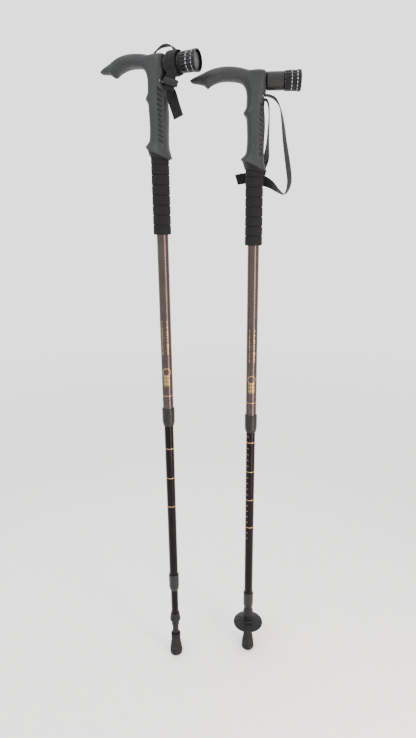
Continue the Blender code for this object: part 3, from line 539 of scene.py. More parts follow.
TORCH_METAL = Finish("gloss_black_anodised", "#0c0c0f", "#131316", 0.2, 0.06, 0.7, 0.3, 0.003)
TORCH_BODY = Finish(
    "satin_black_anodised", "#0b0c0d", "#0f1011", 0.5, 0.06, 0.2, 0.3, 0.006, specular=0.35
)
WEBBING = Finish(
    "nylon_webbing", "#060607", "#0a0a0b", 0.8, 0.05, 0.0, 0.25, 0.02, sheen=0.05, specular=0.15
)
# The lens is tinted near black as painted shade for the deep recess in the torch's head.
ACRYLIC = Finish(
    "smoked_acrylic", "#0c0d0e", "#0a0b0c", 0.35, 0.02, grain=1.0, relief=0.0005, specular=0.1
)
BOARD = Finish("led_board_laminate", "#25583a", "#1f4a31", 0.4, grain=0.5, relief=0.004)
BATTERY = Finish("battery_sleeve", "#8f9298", "#7c7f86", 0.32, metallic=0.8, relief=0.004)
# The reflector is near black as painted shade for the deep recess in the torch's head.
REFLECTOR = Finish("dark_metallised", "#0d0e10", "#0b0b0d", 0.3, 0.05, 1.0, 0.5, 0.001)
GOLD = "#a08452"
SILVER = "#a6a9ad"
PRINT_ROUGHNESS = 0.38
DRAWN_DEPTH = 0.004  # of a drawn tube's lengthwise lines, in millimetres


def uv_sockets(graph: Graph) -> tuple[bpy.types.NodeSocket, bpy.types.NodeSocket]:
    """The piece's own place across and along its surface, in metres.

    Args:
        graph: the material.

    Returns:
        The sockets of u and v.
    """
    place = graph.add("ShaderNodeUVMap", uv_map="surface").outputs["UV"]
    split = graph.add("ShaderNodeSeparateXYZ", {"Vector": place})
    return split.outputs["X"], split.outputs["Y"]


def near(graph: Graph, value: object, centre: float, half: float) -> bpy.types.NodeSocket:
    """A mask that is 1 where a value is within half of the centre."""
    return graph.sum_of("COMPARE", value, centre * MM, half * MM)


def print_over(
    graph: Graph, colour: bpy.types.NodeSocket, mask: bpy.types.NodeSocket, ink: str, rough: float
) -> None:
    """Lays a metallic print over a finish where the mask is 1.

    Args:
        graph: the material.
        colour: the finish's colour.
        mask: where the print is.
        ink: the print's colour, sRGB hex.
        rough: the print's roughness.
    """
    old = graph.shader.inputs["Roughness"].links[0].from_socket
    blend = graph.add("ShaderNodeMix", {0: mask, 2: old, 3: rough}).outputs[0]
    graph.feed(
        graph.shader, {"Base Color": graph.mix(mask, colour, srgb(ink)), "Roughness": blend}
    )


def drawn_lines(graph: Graph, bump: bpy.types.NodeSocket, depth: float) -> None:
    """Adds the fine lengthwise lines that drawing leaves on a tube.

    Args:
        graph: the material.
        bump: the normal that the lines are added to.
        depth: the lines' depth in millimetres.
    """
    u, v = uv_sockets(graph)
    slow = graph.sum_of("MULTIPLY", v, 0.02)
    place = graph.add("ShaderNodeCombineXYZ", {"X": u, "Y": slow}).outputs[0]
    lines = graph.add(
        "ShaderNodeTexNoise", {"Vector": place, "Scale": 3500.0, "Detail": 2.0}
    ).outputs["Fac"]
    over = graph.add(
        "ShaderNodeBump", {"Height": lines, "Distance": depth * MM, "Normal": bump}
    ).outputs[0]
    graph.feed(graph.shader, {"Normal": over})


@dataclass(frozen=True)
class PrintSizes:
    """The upper tube's marks, in millimetres; a pair is a centre and a half, or a pitch and a gap.

    Each row of bars is its place round the tube, its seed and its widest half.
    """

    ring_half: float = 0.45
    emblem: float = 36.5
    emblem_radius: float = 6.0
    emblem_half: float = 0.5
    block_u: tuple[float, float] = (0.0, 4.6)
    block_v: tuple[float, float] = (24.0, 8.4)
    block_columns: tuple[float, float] = (3.1, 0.8)
    block_rows: tuple[float, float] = (5.6, 0.9)
    bar_pitch: float = 1.5
    bar_clear: float = 0.5
    bars_v: tuple[float, float] = (88.0, 25.0)
    bars: tuple[tuple[float, float, float], ...] = ((-4.2, 3.0, 0.9), (3.4, 7.0, 1.5))


@dataclass(frozen=True)
class ScaleSizes:
    """The middle tube's length scale, in millimetres; a pair is a centre and a half."""

    ring_pitch: float = 50.0
    tick_pitch: float = 10.0
    ring: tuple[float, float] = (6.0, 0.6)
    tick: tuple[float, float] = (6.0, 0.4)
    tick_u: tuple[float, float] = (-5.0, 1.8)
    run: tuple[float, float] = (225.0, 95.0)


def upper_tube_material() -> bpy.types.Material:
    """Bronze tube with plain gold marks: a thin ring, a block, a ring emblem and two rows of bars.

    Returns:
        The material.
    """
    graph, colour, bump = BRONZE.graph()
    drawn_lines(graph, bump, DRAWN_DEPTH)
    u, v = uv_sockets(graph)
    sizes = PrintSizes()
    away = graph.sum_of("POWER", graph.sum_of("SUBTRACT", v, sizes.emblem * MM), 2.0)
    side = graph.sum_of("POWER", u, 2.0)
    reach = graph.sum_of("SQRT", graph.sum_of("ADD", away, side))
    ring = near(graph, v, 0.0, sizes.ring_half)
    emblem = near(graph, reach, sizes.emblem_radius, sizes.emblem_half)
    block = graph.sum_of("MULTIPLY", near(graph, u, *sizes.block_u), near(graph, v, *sizes.block_v))
    for line, period, clear in ((u, *sizes.block_columns), (v, *sizes.block_rows)):
        place = graph.sum_of("PINGPONG", line, period / 2 * MM)
        kept = graph.sum_of("GREATER_THAN", place, clear / 2 * MM)
        block = graph.sum_of("MULTIPLY", block, kept)
    marks = graph.sum_of("MAXIMUM", graph.sum_of("MAXIMUM", ring, emblem), block)
    step = graph.sum_of("FLOOR", graph.sum_of("DIVIDE", v, sizes.bar_pitch * MM))
    in_step = graph.sum_of("MODULO", v, sizes.bar_pitch * MM)
    shown = graph.sum_of("GREATER_THAN", in_step, sizes.bar_clear * MM)
    shown = graph.sum_of("MULTIPLY", shown, near(graph, v, *sizes.bars_v))
    for column, seed, widest in sizes.bars:
        place = graph.add("ShaderNodeCombineXYZ", {"X": step, "Y": seed}).outputs[0]
        draw = graph.add(
            "ShaderNodeTexWhiteNoise", {"Vector": place}, noise_dimensions="3D"
        ).outputs["Value"]
        wide = graph.sum_of("MULTIPLY", draw, widest * MM)
        off = graph.sum_of("ABSOLUTE", graph.sum_of("SUBTRACT", u, column * MM))
        bar = graph.sum_of("MULTIPLY", graph.sum_of("LESS_THAN", off, wide), shown)
        marks = graph.sum_of("MAXIMUM", marks, bar)
    print_over(graph, colour, marks, GOLD, PRINT_ROUGHNESS)
    return graph.material


def lower_tube_material(ruled: bool) -> bpy.types.Material:
    """Black tube, with or without the gold length scale: a ring each 50 mm and ticks between.

    Args:
        ruled: whether the scale is printed on it.

    Returns:
        The material.
    """
    graph, colour, bump = BLACK_TUBE.graph()
    drawn_lines(graph, bump, DRAWN_DEPTH)
    if ruled:
        graph.material.name = "black_anodised_ruled"
        u, v = uv_sockets(graph)
        sizes = ScaleSizes()
        fifty = graph.sum_of("MODULO", v, sizes.ring_pitch * MM)
        ten = graph.sum_of("MODULO", v, sizes.tick_pitch * MM)
        tick = near(graph, ten, *sizes.tick)
        tick = graph.sum_of("MULTIPLY", tick, near(graph, u, *sizes.tick_u))
        marks = graph.sum_of("MAXIMUM", near(graph, fifty, *sizes.ring), tick)
        marks = graph.sum_of("MULTIPLY", marks, near(graph, v, *sizes.run))
        print_over(graph, colour, marks, GOLD, PRINT_ROUGHNESS)
    return graph.material


def torch_head_material() -> bpy.types.Material:
    """Gloss black metal with two turned rings of short bare-metal dashes.

    Returns:
        The material.
    """
    graph, colour, _ = TORCH_METAL.graph()
    graph.material.name = "gloss_black_turned"
    u, v = uv_sockets(graph)
    rings = 0.0
    for height, radius in TorchSizes.bands:
        half = math.pi * radius / TorchSizes.flutes * MM
        place = graph.sum_of("PINGPONG", u, half)
        dash = graph.sum_of("LESS_THAN", place, TorchSizes.dash_share * half)
        ring = graph.sum_of("MULTIPLY", dash, near(graph, v, height, TorchSizes.band_half))
        rings = graph.sum_of("MAXIMUM", ring, rings)
    print_over(graph, colour, rings, SILVER, 0.3)
    return graph.material


def webbing_material() -> bpy.types.Material:
    """Flat nylon webbing: a plain weave of round yarns across and along the strap.

    Returns:
        The material.
    """
    graph, colour, bump = WEBBING.graph()
    u, v = uv_sockets(graph)
    warp_pitch, weft_pitch, yarn_relief = 1.1 * MM, 1.5 * MM, 0.09 * MM
    warp = graph.sum_of("SINE", graph.sum_of("MULTIPLY", u, math.tau / warp_pitch))
    weft = graph.sum_of("SINE", graph.sum_of("MULTIPLY", v, math.tau / weft_pitch))
    weave = graph.sum_of("MULTIPLY", warp, weft)
    over = graph.add(
        "ShaderNodeBump", {"Height": weave, "Distance": yarn_relief, "Normal": bump}
    ).outputs[0]
    tone = graph.sum_of("MULTIPLY_ADD", weave, 0.3, 0.4)
    yarn = graph.mix(tone, colour, srgb("#151517"))
    graph.feed(graph.shader, {"Normal": over, "Base Color": yarn})
    return graph.material


def grip_material() -> bpy.types.Material:
    """Moulded grip rubber, with painted shade in its grooves, slot and bore, and a painted
    highlight on its upward faces.

    Returns:
        The material.
    """
    graph, colour, _ = GRIP_RUBBER.graph()
    # Painted shade from the mesh: grooves, slot, bore and lip go towards near black.
    groove = graph.add("ShaderNodeAttribute", attribute_name="crease").outputs["Fac"]
    # Painted highlight: faces that point up are mixed towards a paler grey.
    up = graph.add("ShaderNodeNewGeometry").outputs["Normal"]
    height = graph.add("ShaderNodeSeparateXYZ", {"Vector": up}).outputs["Z"]
    top_light = graph.add(
        "ShaderNodeMapRange",
        {"Value": height, "From Min": 0.4, "From Max": 1.0, "To Max": 0.25},
    ).outputs[0]
    dust_and_top_light = graph.mix(top_light, colour, srgb("#2a2e2f"))
    # The painted shade goes over the painted highlight.
    graph.feed(graph.shader, {"Base Color": graph.mix(groove, dust_and_top_light, srgb("#070808"))})
    return graph.material


def foot_material() -> bpy.types.Material:
    """Black rubber with pale ground dust that thins out upwards.

    Returns:
        The material.
    """
    graph, colour, _ = FOOT_RUBBER.graph()
    _, v = uv_sockets(graph)
    place = graph.add("ShaderNodeTexCoord").outputs["Object"]
    patch = graph.add(
        "ShaderNodeTexNoise", {"Vector": place, "Scale": 260.0, "Detail": 6.0}
    ).outputs["Fac"]
    fade = graph.add(
        "ShaderNodeMapRange",
        {"Value": v, "From Min": 0.0, "From Max": 40.0 * MM, "To Min": 0.3, "To Max": 0.05},
    ).outputs[0]
    thick = graph.add(
        "ShaderNodeMapRange", {"Value": patch, "From Min": 0.48, "From Max": 0.72}
    ).outputs[0]
    dust_and_top_light = graph.mix(graph.sum_of("MULTIPLY", fade, thick), colour, srgb("#4c4a45"))
    graph.feed(graph.shader, {"Base Color": dust_and_top_light})
    return graph.material


def lens_material() -> bpy.types.Material:
    """Acrylic lens, tinted near black as painted shade for the deep recess in the torch's head.

    Returns:
        The material.
    """
    graph, _, _ = ACRYLIC.graph()
    graph.feed(graph.shader, {"Transmission Weight": 0.92, "IOR": 1.49})
    return graph.material


class Slot(Enum):
    """The material slots, each with its name."""

    FOOT = "foot_rubber"
    STEEL = "hardened_steel"
    PLASTIC = "black_plastic"
    COLLAR = "collar_plastic"
    LOCK = "lock_nylon"
    EXPANDER = "expander_nylon"
    BLACK = "black_anodised"
    BRONZE = "bronze_anodised"
    FOAM = "eva_foam"
    GRIP = "grip_rubber"
    TORCH = "torch_metal"
    LENS = "torch_lens"
    REFLECTOR = "torch_reflector"
    BOARD = "led_board"
    BATTERY = "battery_cell"
    WEBBING = "webbing"


@dataclass(frozen=True)
class Look:
    """A material with the slot that it belongs to."""

    slot: Slot
    material: bpy.types.Material


class Looks:
    """Every material of the poles, made once."""

    def __init__(self) -> None:
        """Builds the materials."""
        self.foot = Look(Slot.FOOT, foot_material())
        self.steel = Look(Slot.STEEL, STEEL.material())
        self.plastic = Look(Slot.PLASTIC, BLACK_PLASTIC.material())
        self.collar = Look(Slot.COLLAR, COLLAR_PLASTIC.material())
        self.lock = Look(Slot.LOCK, LOCK_NYLON.material())
        self.expander = Look(Slot.EXPANDER, self.plastic.material)
        self.black = Look(Slot.BLACK, lower_tube_material(False))
        self.ruled = Look(Slot.BLACK, lower_tube_material(True))
        self.bronze = Look(Slot.BRONZE, upper_tube_material())
        self.foam = Look(Slot.FOAM, EVA_FOAM.material())
        self.grip = Look(Slot.GRIP, grip_material())
        self.torch = Look(Slot.TORCH, TORCH_BODY.material())
        self.torch_head = Look(Slot.TORCH, torch_head_material())
        self.lens = Look(Slot.LENS, lens_material())
        self.reflector = Look(Slot.REFLECTOR, REFLECTOR.material())
        self.board = Look(Slot.BOARD, BOARD.material())
        self.battery = Look(Slot.BATTERY, BATTERY.material())
        self.webbing = Look(Slot.WEBBING, webbing_material())


# The poles


@dataclass(frozen=True)
class PoleSizes:
    """One pole's own sizes, which the frame's boxes don't hold."""

    side: str
    yaw: float
    has_basket: bool
    print_rise: float  # the gold ring over the upper tube's lower end
    scale_front: float  # where the printed scale faces


LEFT = PoleSizes("left", math.radians(-22.0), False, 45.5 * MM, math.pi / 2)
RIGHT = PoleSizes("right", 0.0, True, 45.5 * MM, -math.pi / 2)

GAP = 0.3 * MM
TUBE_WALL = 0.7 * MM
TOP_OVER_TUBE = 46.0 * MM
TORCH_BELOW_TOP = 13.0 * MM


class Part:
    """One pole's pieces share its side, its axis and the looks."""

    def __init__(self, sizes: PoleSizes, looks: Looks) -> None:
        """Finds the pole's axis from its upper tube.

        Args:
            sizes: the pole's own sizes.
            looks: the materials.
        """
        self.sizes = sizes
        self.looks = looks
        low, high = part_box(f"{sizes.side}_upper_tube")
        centre = (low + high) / 2
        self.axis = Placement((centre.x, centre.y, 0.0), np.eye(3))
        top = high.z + TOP_OVER_TUBE
        self.head = Placement((centre.x, centre.y, top), turn_about_z(sizes.yaw))
        lamp = self.head.moved((0.0, 0.0, -TORCH_BELOW_TOP))
        self.lamp = Placement(lamp.origin, self.head.axes @ ALONG_X)

    def span(self, label: str) -> tuple[float, float]:
        """Lowest and highest point of one of the pole's CAD nodes."""
        low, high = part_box(f"{self.sizes.side}_{label}")
        return low.z, high.z

    def put(
        self, made: bpy.types.Object, look: Look, body: str, nodes: Sequence[str] = ()
    ) -> bpy.types.Object:
        """Gives a piece its material and its body, and hides the CAD nodes that it stands for.

        Args:
            made: the piece, named side and label.
            look: its material and slot.
            body: the body's name without its side.
            nodes: the nodes' names without their side, or none for the node of its own name.

        Returns:
            The piece.
        """
        side = self.sizes.side
        label = made.name.removesuffix("_look").removeprefix(f"{side}_")
        made.data.materials.clear()
        made.data.materials.append(look.material)
        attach(made, f"{side}_{body}")
        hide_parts(*[f"{side}_{node}" for node in (nodes or [label])])
        return made

    def turn(
        self,
        label: str,
        profile: Array,
        look: Look,
        body: str,
        sides: int = 96,
        place: Optional[Placement] = None,
        **shape: object,
    ) -> bpy.types.Object:
        """Turns a profile about the pole's axis, or the place given, and puts it on its body."""
        made = turned(self.name(label), profile, place or self.axis, sides, **shape)
        return self.put(made, look, body)

    def name(self, label: str) -> str:
        """The visual piece's name."""
        return f"{self.sizes.side}_{label}_look"


@dataclass(frozen=True)
class FootSizes:
    """Rubber foot and steel tip, in metres."""

    height: float = 41.6 * MM
    base_radius: float = 10.65 * MM
    neck_radius: float = 7.3 * MM
    ring_radius: float = 7.9 * MM
    floor: float = 12.0 * MM
    bore: float = 5.45 * MM
    tip_radius: float = 2.2 * MM
    tip_length: float = 13.5 * MM
    tip_seat: float = 3.5 * MM


class Foot(Part):
    """Rubber foot and the steel tip inside it."""

    size = FootSizes()

    def build(self) -> None:
        """Makes the foot and the tip."""
        s = self.size
        ring = s.height - 9.6 * MM
        tip_bore = s.tip_radius + GAP
        step = s.floor + s.tip_seat
        corners = [
            (0.0, s.floor),
            (tip_bore, s.floor),
            (tip_bore, step),
            (s.bore, step),
            (s.bore, s.height),
            (s.ring_radius - 0.3 * MM, s.height),
            (s.ring_radius, s.height - 1.0 * MM),
            (s.ring_radius, ring + 5.6 * MM),
            (s.ring_radius - 0.5 * MM, ring + 5.2 * MM),
            (s.ring_radius - 0.5 * MM, ring + 4.4 * MM),
            (s.ring_radius, ring + 4.0 * MM),
            (s.ring_radius, ring),
            (s.neck_radius, ring - 1.6 * MM),
            (s.neck_radius + 1.2 * MM, ring - 8.0 * MM),
            (s.base_radius - 0.4 * MM, 10.0 * MM),
            (s.base_radius, 4.0 * MM),
            (s.base_radius - 0.3 * MM, 1.6 * MM),
            (s.base_radius - 1.5 * MM, 0.0),
            (0.0, 0.0),
        ]
        profile = refined(rounded(corners, 0.9 * MM), 0.8 * MM)

        def flutes(angle: Array, radius: Array, height: Array) -> tuple[Array, Array]:
            """Shallow upright flutes round the flared skirt, deepest at mid height."""
            outside = smoothstep(s.neck_radius - 1.0 * MM, s.neck_radius, radius)
            band = smoothstep(6 * MM, 9 * MM, height) * (1 - smoothstep(22 * MM, 27 * MM, height))
            wave = 0.5 - 0.5 * np.cos(12 * angle)
            return -0.45 * MM * outside * band * wave**4, 0.0 * height

        self.turn("rubber_foot", profile, self.looks.foot, "foot", ripple=flutes)
        base = s.floor + GAP
        corners = [
            (0.0, base + s.tip_length),
            (s.tip_radius, base + s.tip_length),
            (s.tip_radius, base + 1.5 * MM),
            (s.tip_radius - 1.0 * MM, base),
            (0.0, base),
        ]
        tip = rounded(corners, 0.4 * MM)
        self.turn("carbide_tip", tip, self.looks.steel, "lower_shaft", 40)


@dataclass(frozen=True)
class FerruleSizes:
    """Tip ferrule and basket, in metres."""

    neck_radius: float = 5.15 * MM
    neck_length: float = 42.4 * MM
    thread_radius: float = 6.3 * MM
    thread_length: float = 9.6 * MM
    thread_pitch: float = 2.2 * MM
    thread_depth: float = 0.55 * MM
    seat_radius: float = 8.9 * MM
    seat_rise: float = 5.1 * MM
    basket_radius: float = 25.0 * MM
    basket_rim: float = 2.0 * MM
    basket_dish: float = 5.0 * MM
    hub_drop: float = 9.0 * MM


class Ferrule(Part):
    """Tip ferrule, and on the right pole the mud basket on its thread."""

    size = FerruleSizes()

    def build(self) -> None:
        """Makes the ferrule and the basket."""
        s = self.size
        base, top = self.span("tip_ferrule")
        tube_low, tube_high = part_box(f"{self.sizes.side}_lower_tube")
        bore = (tube_high.x - tube_low.x) / 2 + GAP
        seat_inside = tube_low.z - GAP
        tip_low, tip_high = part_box(f"{self.sizes.side}_carbide_tip")
        tip_bore = (tip_high.x - tip_low.x) / 2 + GAP
        neck_top = base + s.neck_length
        thread_top = neck_top + s.thread_length
        seat = thread_top + s.seat_rise
        corners = [
            (0.0, tip_high.z + GAP),
            (tip_bore, tip_high.z + GAP),
            (tip_bore, base),
            (s.neck_radius - 0.8 * MM, base),
            (s.neck_radius, base + 1.2 * MM),
            (s.neck_radius, neck_top),
            (s.thread_radius, neck_top + 1.0 * MM),
            (s.thread_radius, thread_top),
            (s.seat_radius, thread_top + 1.2 * MM),
            (s.seat_radius, seat),
            (bore + 0.6 * MM, top),
            (bore, top),
            (bore, seat_inside),
            (0.0, seat_inside),
        ]
        profile = refined(rounded(corners, 0.6 * MM), 0.25 * MM)

        def thread(angle: Array, radius: Array, height: Array) -> tuple[Array, Array]:
            """A right-hand thread: the depth follows the cosine of the helix's phase."""
            on = smoothstep(neck_top + 1 * MM, neck_top + 2 * MM, height)
            on = on * (1 - smoothstep(thread_top - 1 * MM, thread_top, height))
            on = on * smoothstep(s.neck_radius, s.neck_radius + 0.5 * MM, radius)
            phase = math.tau * height / s.thread_pitch - angle
            return -s.thread_depth * on * (0.5 - 0.5 * np.cos(phase)), 0.0 * height

        self.turn("tip_ferrule", profile, self.looks.plastic, "lower_shaft", 72, ripple=thread)
        if self.sizes.has_basket:
            self.build_basket(neck_top, thread_top)

    def build_basket(self, neck_top: float, thread_top: float) -> None:
        """Makes the dished mud basket, with ribs that run out over its plate.

        Args:
            neck_top: the height where the ferrule's thread starts.
            thread_top: the height where it ends.
        """
        s = self.size
        bore = s.thread_radius + GAP
        lower_bore = s.neck_radius + GAP
        hub = bore + 1.4 * MM
        plate = neck_top - 1.0 * MM
        corners = [
            (bore, thread_top - GAP),
            (bore, neck_top - GAP),
            (lower_bore, neck_top - GAP - 1.0 * MM),
            (lower_bore, neck_top - s.hub_drop),
            (hub - 0.4 * MM, neck_top - s.hub_drop),
            (hub, plate - s.basket_rim),
            (s.basket_radius * 0.6, plate - s.basket_rim - 0.5 * MM),
            (s.basket_radius - 0.6 * MM, plate - s.basket_dish),
            (s.basket_radius, plate - s.basket_dish + 0.6 * MM),
            (s.basket_radius - 0.2 * MM, plate - s.basket_dish + s.basket_rim),
            (s.basket_radius * 0.6, plate - 0.2 * MM),
            (hub + 1.0 * MM, plate + 0.6 * MM),
            (hub, plate + 2.0 * MM),
            (hub, thread_top - GAP),
        ]
        profile = refined(rounded(corners, 1.2 * MM), 0.5 * MM)

        def ribs(angle: Array, radius: Array, height: Array) -> tuple[Array, Array]:
            """Twelve low ribs on the plate's upper face, between the hub and the rim."""
            rim = s.basket_radius - 1 * MM
            band = smoothstep(hub + 1 * MM, hub + 3 * MM, radius)
            band = band * (1 - smoothstep(rim - 2 * MM, rim, radius))
            middle = plate - s.basket_dish * (radius / s.basket_radius) ** 2
            over = smoothstep(-1.0 * MM, 0.0, height - middle)
            wave = (0.5 + 0.5 * np.cos(12 * angle)) ** 10
            return 0.0 * height, 0.5 * MM * band * over * wave

        self.turn("basket", profile, self.looks.plastic, "lower_shaft", 192, ripple=ribs)


@dataclass(frozen=True)
class ShaftSizes:
    """Collar shape, in metres."""

    lip: float = 3.0 * MM
    wall: float = 1.1 * MM
    taper: float = 6.0 * MM


class Shaft(Part):
    """The three tubes and the two collars."""

    size = ShaftSizes()

    def build(self) -> None:
        """Makes the tubes and the collars."""
        looks, rise, front = self.looks, self.sizes.print_rise, self.sizes.scale_front
        self.build_tube("lower_tube", looks.black, "lower_shaft", 0.0, 0.0)
        self.build_tube("middle_tube", looks.ruled, "middle_shaft", 0.0, front)
        self.build_tube("upper_tube", looks.bronze, "upper_shaft", rise, -math.pi / 2)
        self.build_collar("lower_collar", "lower_tube", "middle_tube", "middle_shaft")
        self.build_collar("upper_collar", "middle_tube", "upper_tube", "upper_shaft")

    def radius(self, label: str) -> float:
        """A tube's outer radius."""
        low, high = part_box(f"{self.sizes.side}_{label}")
        return (high.x - low.x) / 2

    def build_tube(self, label: str, look: Look, body: str, rise: float, front: float) -> None:
        """Makes one drawn tube with broken edges.

        Args:
            label: the tube's name without its side.
            look: its material.
            body: the body that it rides.
            rise: the printed marks' zero over its lower end.
            front: the angle that the marks face.
        """
        low, high = self.span(label)
        outer = self.radius(label)
        inner = outer - TUBE_WALL
        corners = [
            (inner, (low + high) / 2),
            (inner, high),
            (outer, high),
            (outer, low),
            (inner, low),
            (inner, (low + high) / 2),
        ]
        profile = refined(rounded(corners, 0.2 * MM, 4), 12.0 * MM)[:-1]
        self.turn(label, profile, look, body, zero=low + rise, front=front)

    def build_collar(self, label: str, inner_tube: str, outer_tube: str, body: str) -> None:
        """Makes one collar: a plain sleeve with a chamfered top that tapers to its lip.

        Args:
            label: the collar's name without its side.
            inner_tube: the tube that slides through it.
            outer_tube: the tube that it is fixed on.
            body: the body that it rides.
        """
        s = self.size
        low, high = self.span(label)
        bore = self.radius(outer_tube) + GAP
        lip = self.radius(inner_tube) + GAP
        outer = bore + s.wall
        corners = [
            (bore, high - 2.0 * MM),
            (bore, low + s.lip - GAP),
            (lip, low + s.lip - GAP),
            (lip, low),
            (lip + 0.8 * MM, low),
            (outer - 0.7 * MM, low + s.taper * 0.5),
            (outer - 0.1 * MM, low + s.taper),
            (outer, low + 2.0 * s.taper),
            (outer, high - 1.0 * MM),
            (outer - 0.6 * MM, high),
            (bore, high),
            (bore, high - 2.0 * MM),
        ]
        profile = refined(rounded(corners, 0.5 * MM), 0.8 * MM)[:-1]
        self.turn(label, profile, self.looks.collar, body)


@dataclass(frozen=True)
class FoamSizes:
    """Foam grip, in metres."""

    radius: float = 12.0 * MM
    segments: int = 8
    groove: float = 1.5 * MM
    groove_share: float = 0.13
    bore: float = 8.3 * MM


class Foam(Part):
    """Ribbed foam grip under the handle."""

    size = FoamSizes()

    def build(self) -> None:
        """Makes the grip: each segment bulges, r = R - groove * (1 - sqrt(1 - (1 - t)^2)).

        There t is the share of the groove's half width that lies between a point and the groove.
        """
        s = self.size
        low, high = self.span("foam_grip")
        pitch = (high - low) / s.segments
        height = np.linspace(low, high, s.segments * 40 + 1)
        phase = ((height - low) / pitch) % 1.0
        t = np.clip(np.minimum(phase, 1.0 - phase) / s.groove_share, 0.0, 1.0)
        t[[0, -1]] = 0.0
        radius = s.radius - s.groove * (1 - np.sqrt(1 - (1 - t) ** 2))
        outside = np.stack([radius, height], -1)
        inside = refined(np.array([[s.bore, high], [s.bore, low]]), 4.0 * MM)
        profile = np.vstack([outside, inside])
        self.turn("foam_grip", profile, self.looks.foam, "upper_shaft")


@dataclass(frozen=True)
class HandleSizes:
    """Handle sections and details, in millimetres in the handle's frame.

    Each section is x, z at the palm side, x, z at the outer side, half thickness and squareness.
    """

    sections: tuple[tuple[float, ...], ...] = (
        (-18.6, -106.2, 16.4, -122.4, 14.8, 2.2),
        (-17.6, -104.8, 15.4, -119.0, 14.4, 2.2),
        (-12.4, -99.4, 12.4, -109.5, 12.8, 2.4),
        (-10.8, -91.0, 12.0, -98.0, 12.5, 2.6),
        (-10.5, -80.0, 12.3, -84.0, 12.7, 2.6),
        (-10.9, -67.0, 12.9, -69.0, 13.0, 2.6),
        (-12.0, -56.5, 12.6, -57.0, 12.9, 2.5),
        (-15.6, -50.5, 12.1, -50.5, 12.6, 2.4),
        (-12.4, -44.5, 11.5, -43.5, 12.6, 2.4),
        (-11.6, -37.0, 12.2, -35.5, 12.8, 2.4),
        (-11.6, -29.5, 13.2, -26.5, 13.2, 2.4),
        (-12.6, -23.4, 14.2, -18.5, 13.6, 2.5),
        (-14.6, -19.0, 14.8, -8.5, 13.8, 2.6),
        (-17.6, -15.9, 12.4, -1.6, 13.8, 2.6),
        (-21.4, -14.2, 3.0, 0.0, 13.6, 2.5),
        (-25.6, -13.4, -7.0, -0.6, 13.4, 2.4),
        (-30.6, -13.0, -17.0, 1.8, 13.2, 2.3),
        (-37.0, -12.7, -29.0, 3.7, 13.2, 2.2),
        (-44.5, -13.2, -41.0, 4.0, 13.0, 2.2),
        (-51.5, -15.2, -52.5, 2.4, 12.2, 2.2),
        (-57.0, -17.8, -60.5, 0.2, 11.0, 2.1),
        (-61.5, -20.8, -67.5, -2.7, 9.6, 2.1),
        (-66.5, -17.2, -73.5, -5.2, 8.2, 2.1),
        (-73.0, -15.6, -79.5, -7.6, 6.6, 2.1),
        (-79.5, -14.6, -84.0, -10.2, 4.2, 2.1),
    )
    tube_bore: float = 8.35
    recess: float = 12.35
    recess_top: float = -116.2
    bore_top: float = -45.7
    rim_middle: float = -120.9
    rim_slope: float = -0.2
    lip: tuple[tuple[float, float], ...] = ((0.9, -0.6), (0.93, -0.9), (0.985, -0.9), (1.0, -0.5))
    grooves: int = 11
    groove_pitch: float = 5.9
    groove_first: float = -38.0
    groove_depth: float = 1.9
    groove_slope: float = 0.5
    groove_over: tuple[float, float] = (2.9, 3.3)  # where the run fades out above the first
    groove_side: tuple[float, float] = (1.0, 2.0)  # where its flat bottom ends, and its wall
    groove_in: tuple[float, float] = (5.0, 6.0)
    groove_out: tuple[float, float] = (10.4, 11.2)
    mark_place: tuple[float, float] = (-1.0, -12.0)
    mark_in: tuple[float, float] = (4.4, 4.9)
    mark_out: tuple[float, float] = (5.5, 6.0)
    mark_depth: float = 0.45
    boss_x: float = 1.0
    boss_edge: tuple[float, float] = (13.0, 15.5)
    boss_half: float = 13.2
    slot_height: float = -32.0
    slot_mouth: float = 5.0
    slot_floor: float = 4.4
    slot_half: float = 3.6
    slot_width: float = 7.3
    face: float = 13.8
    face_radius: float = 12.2


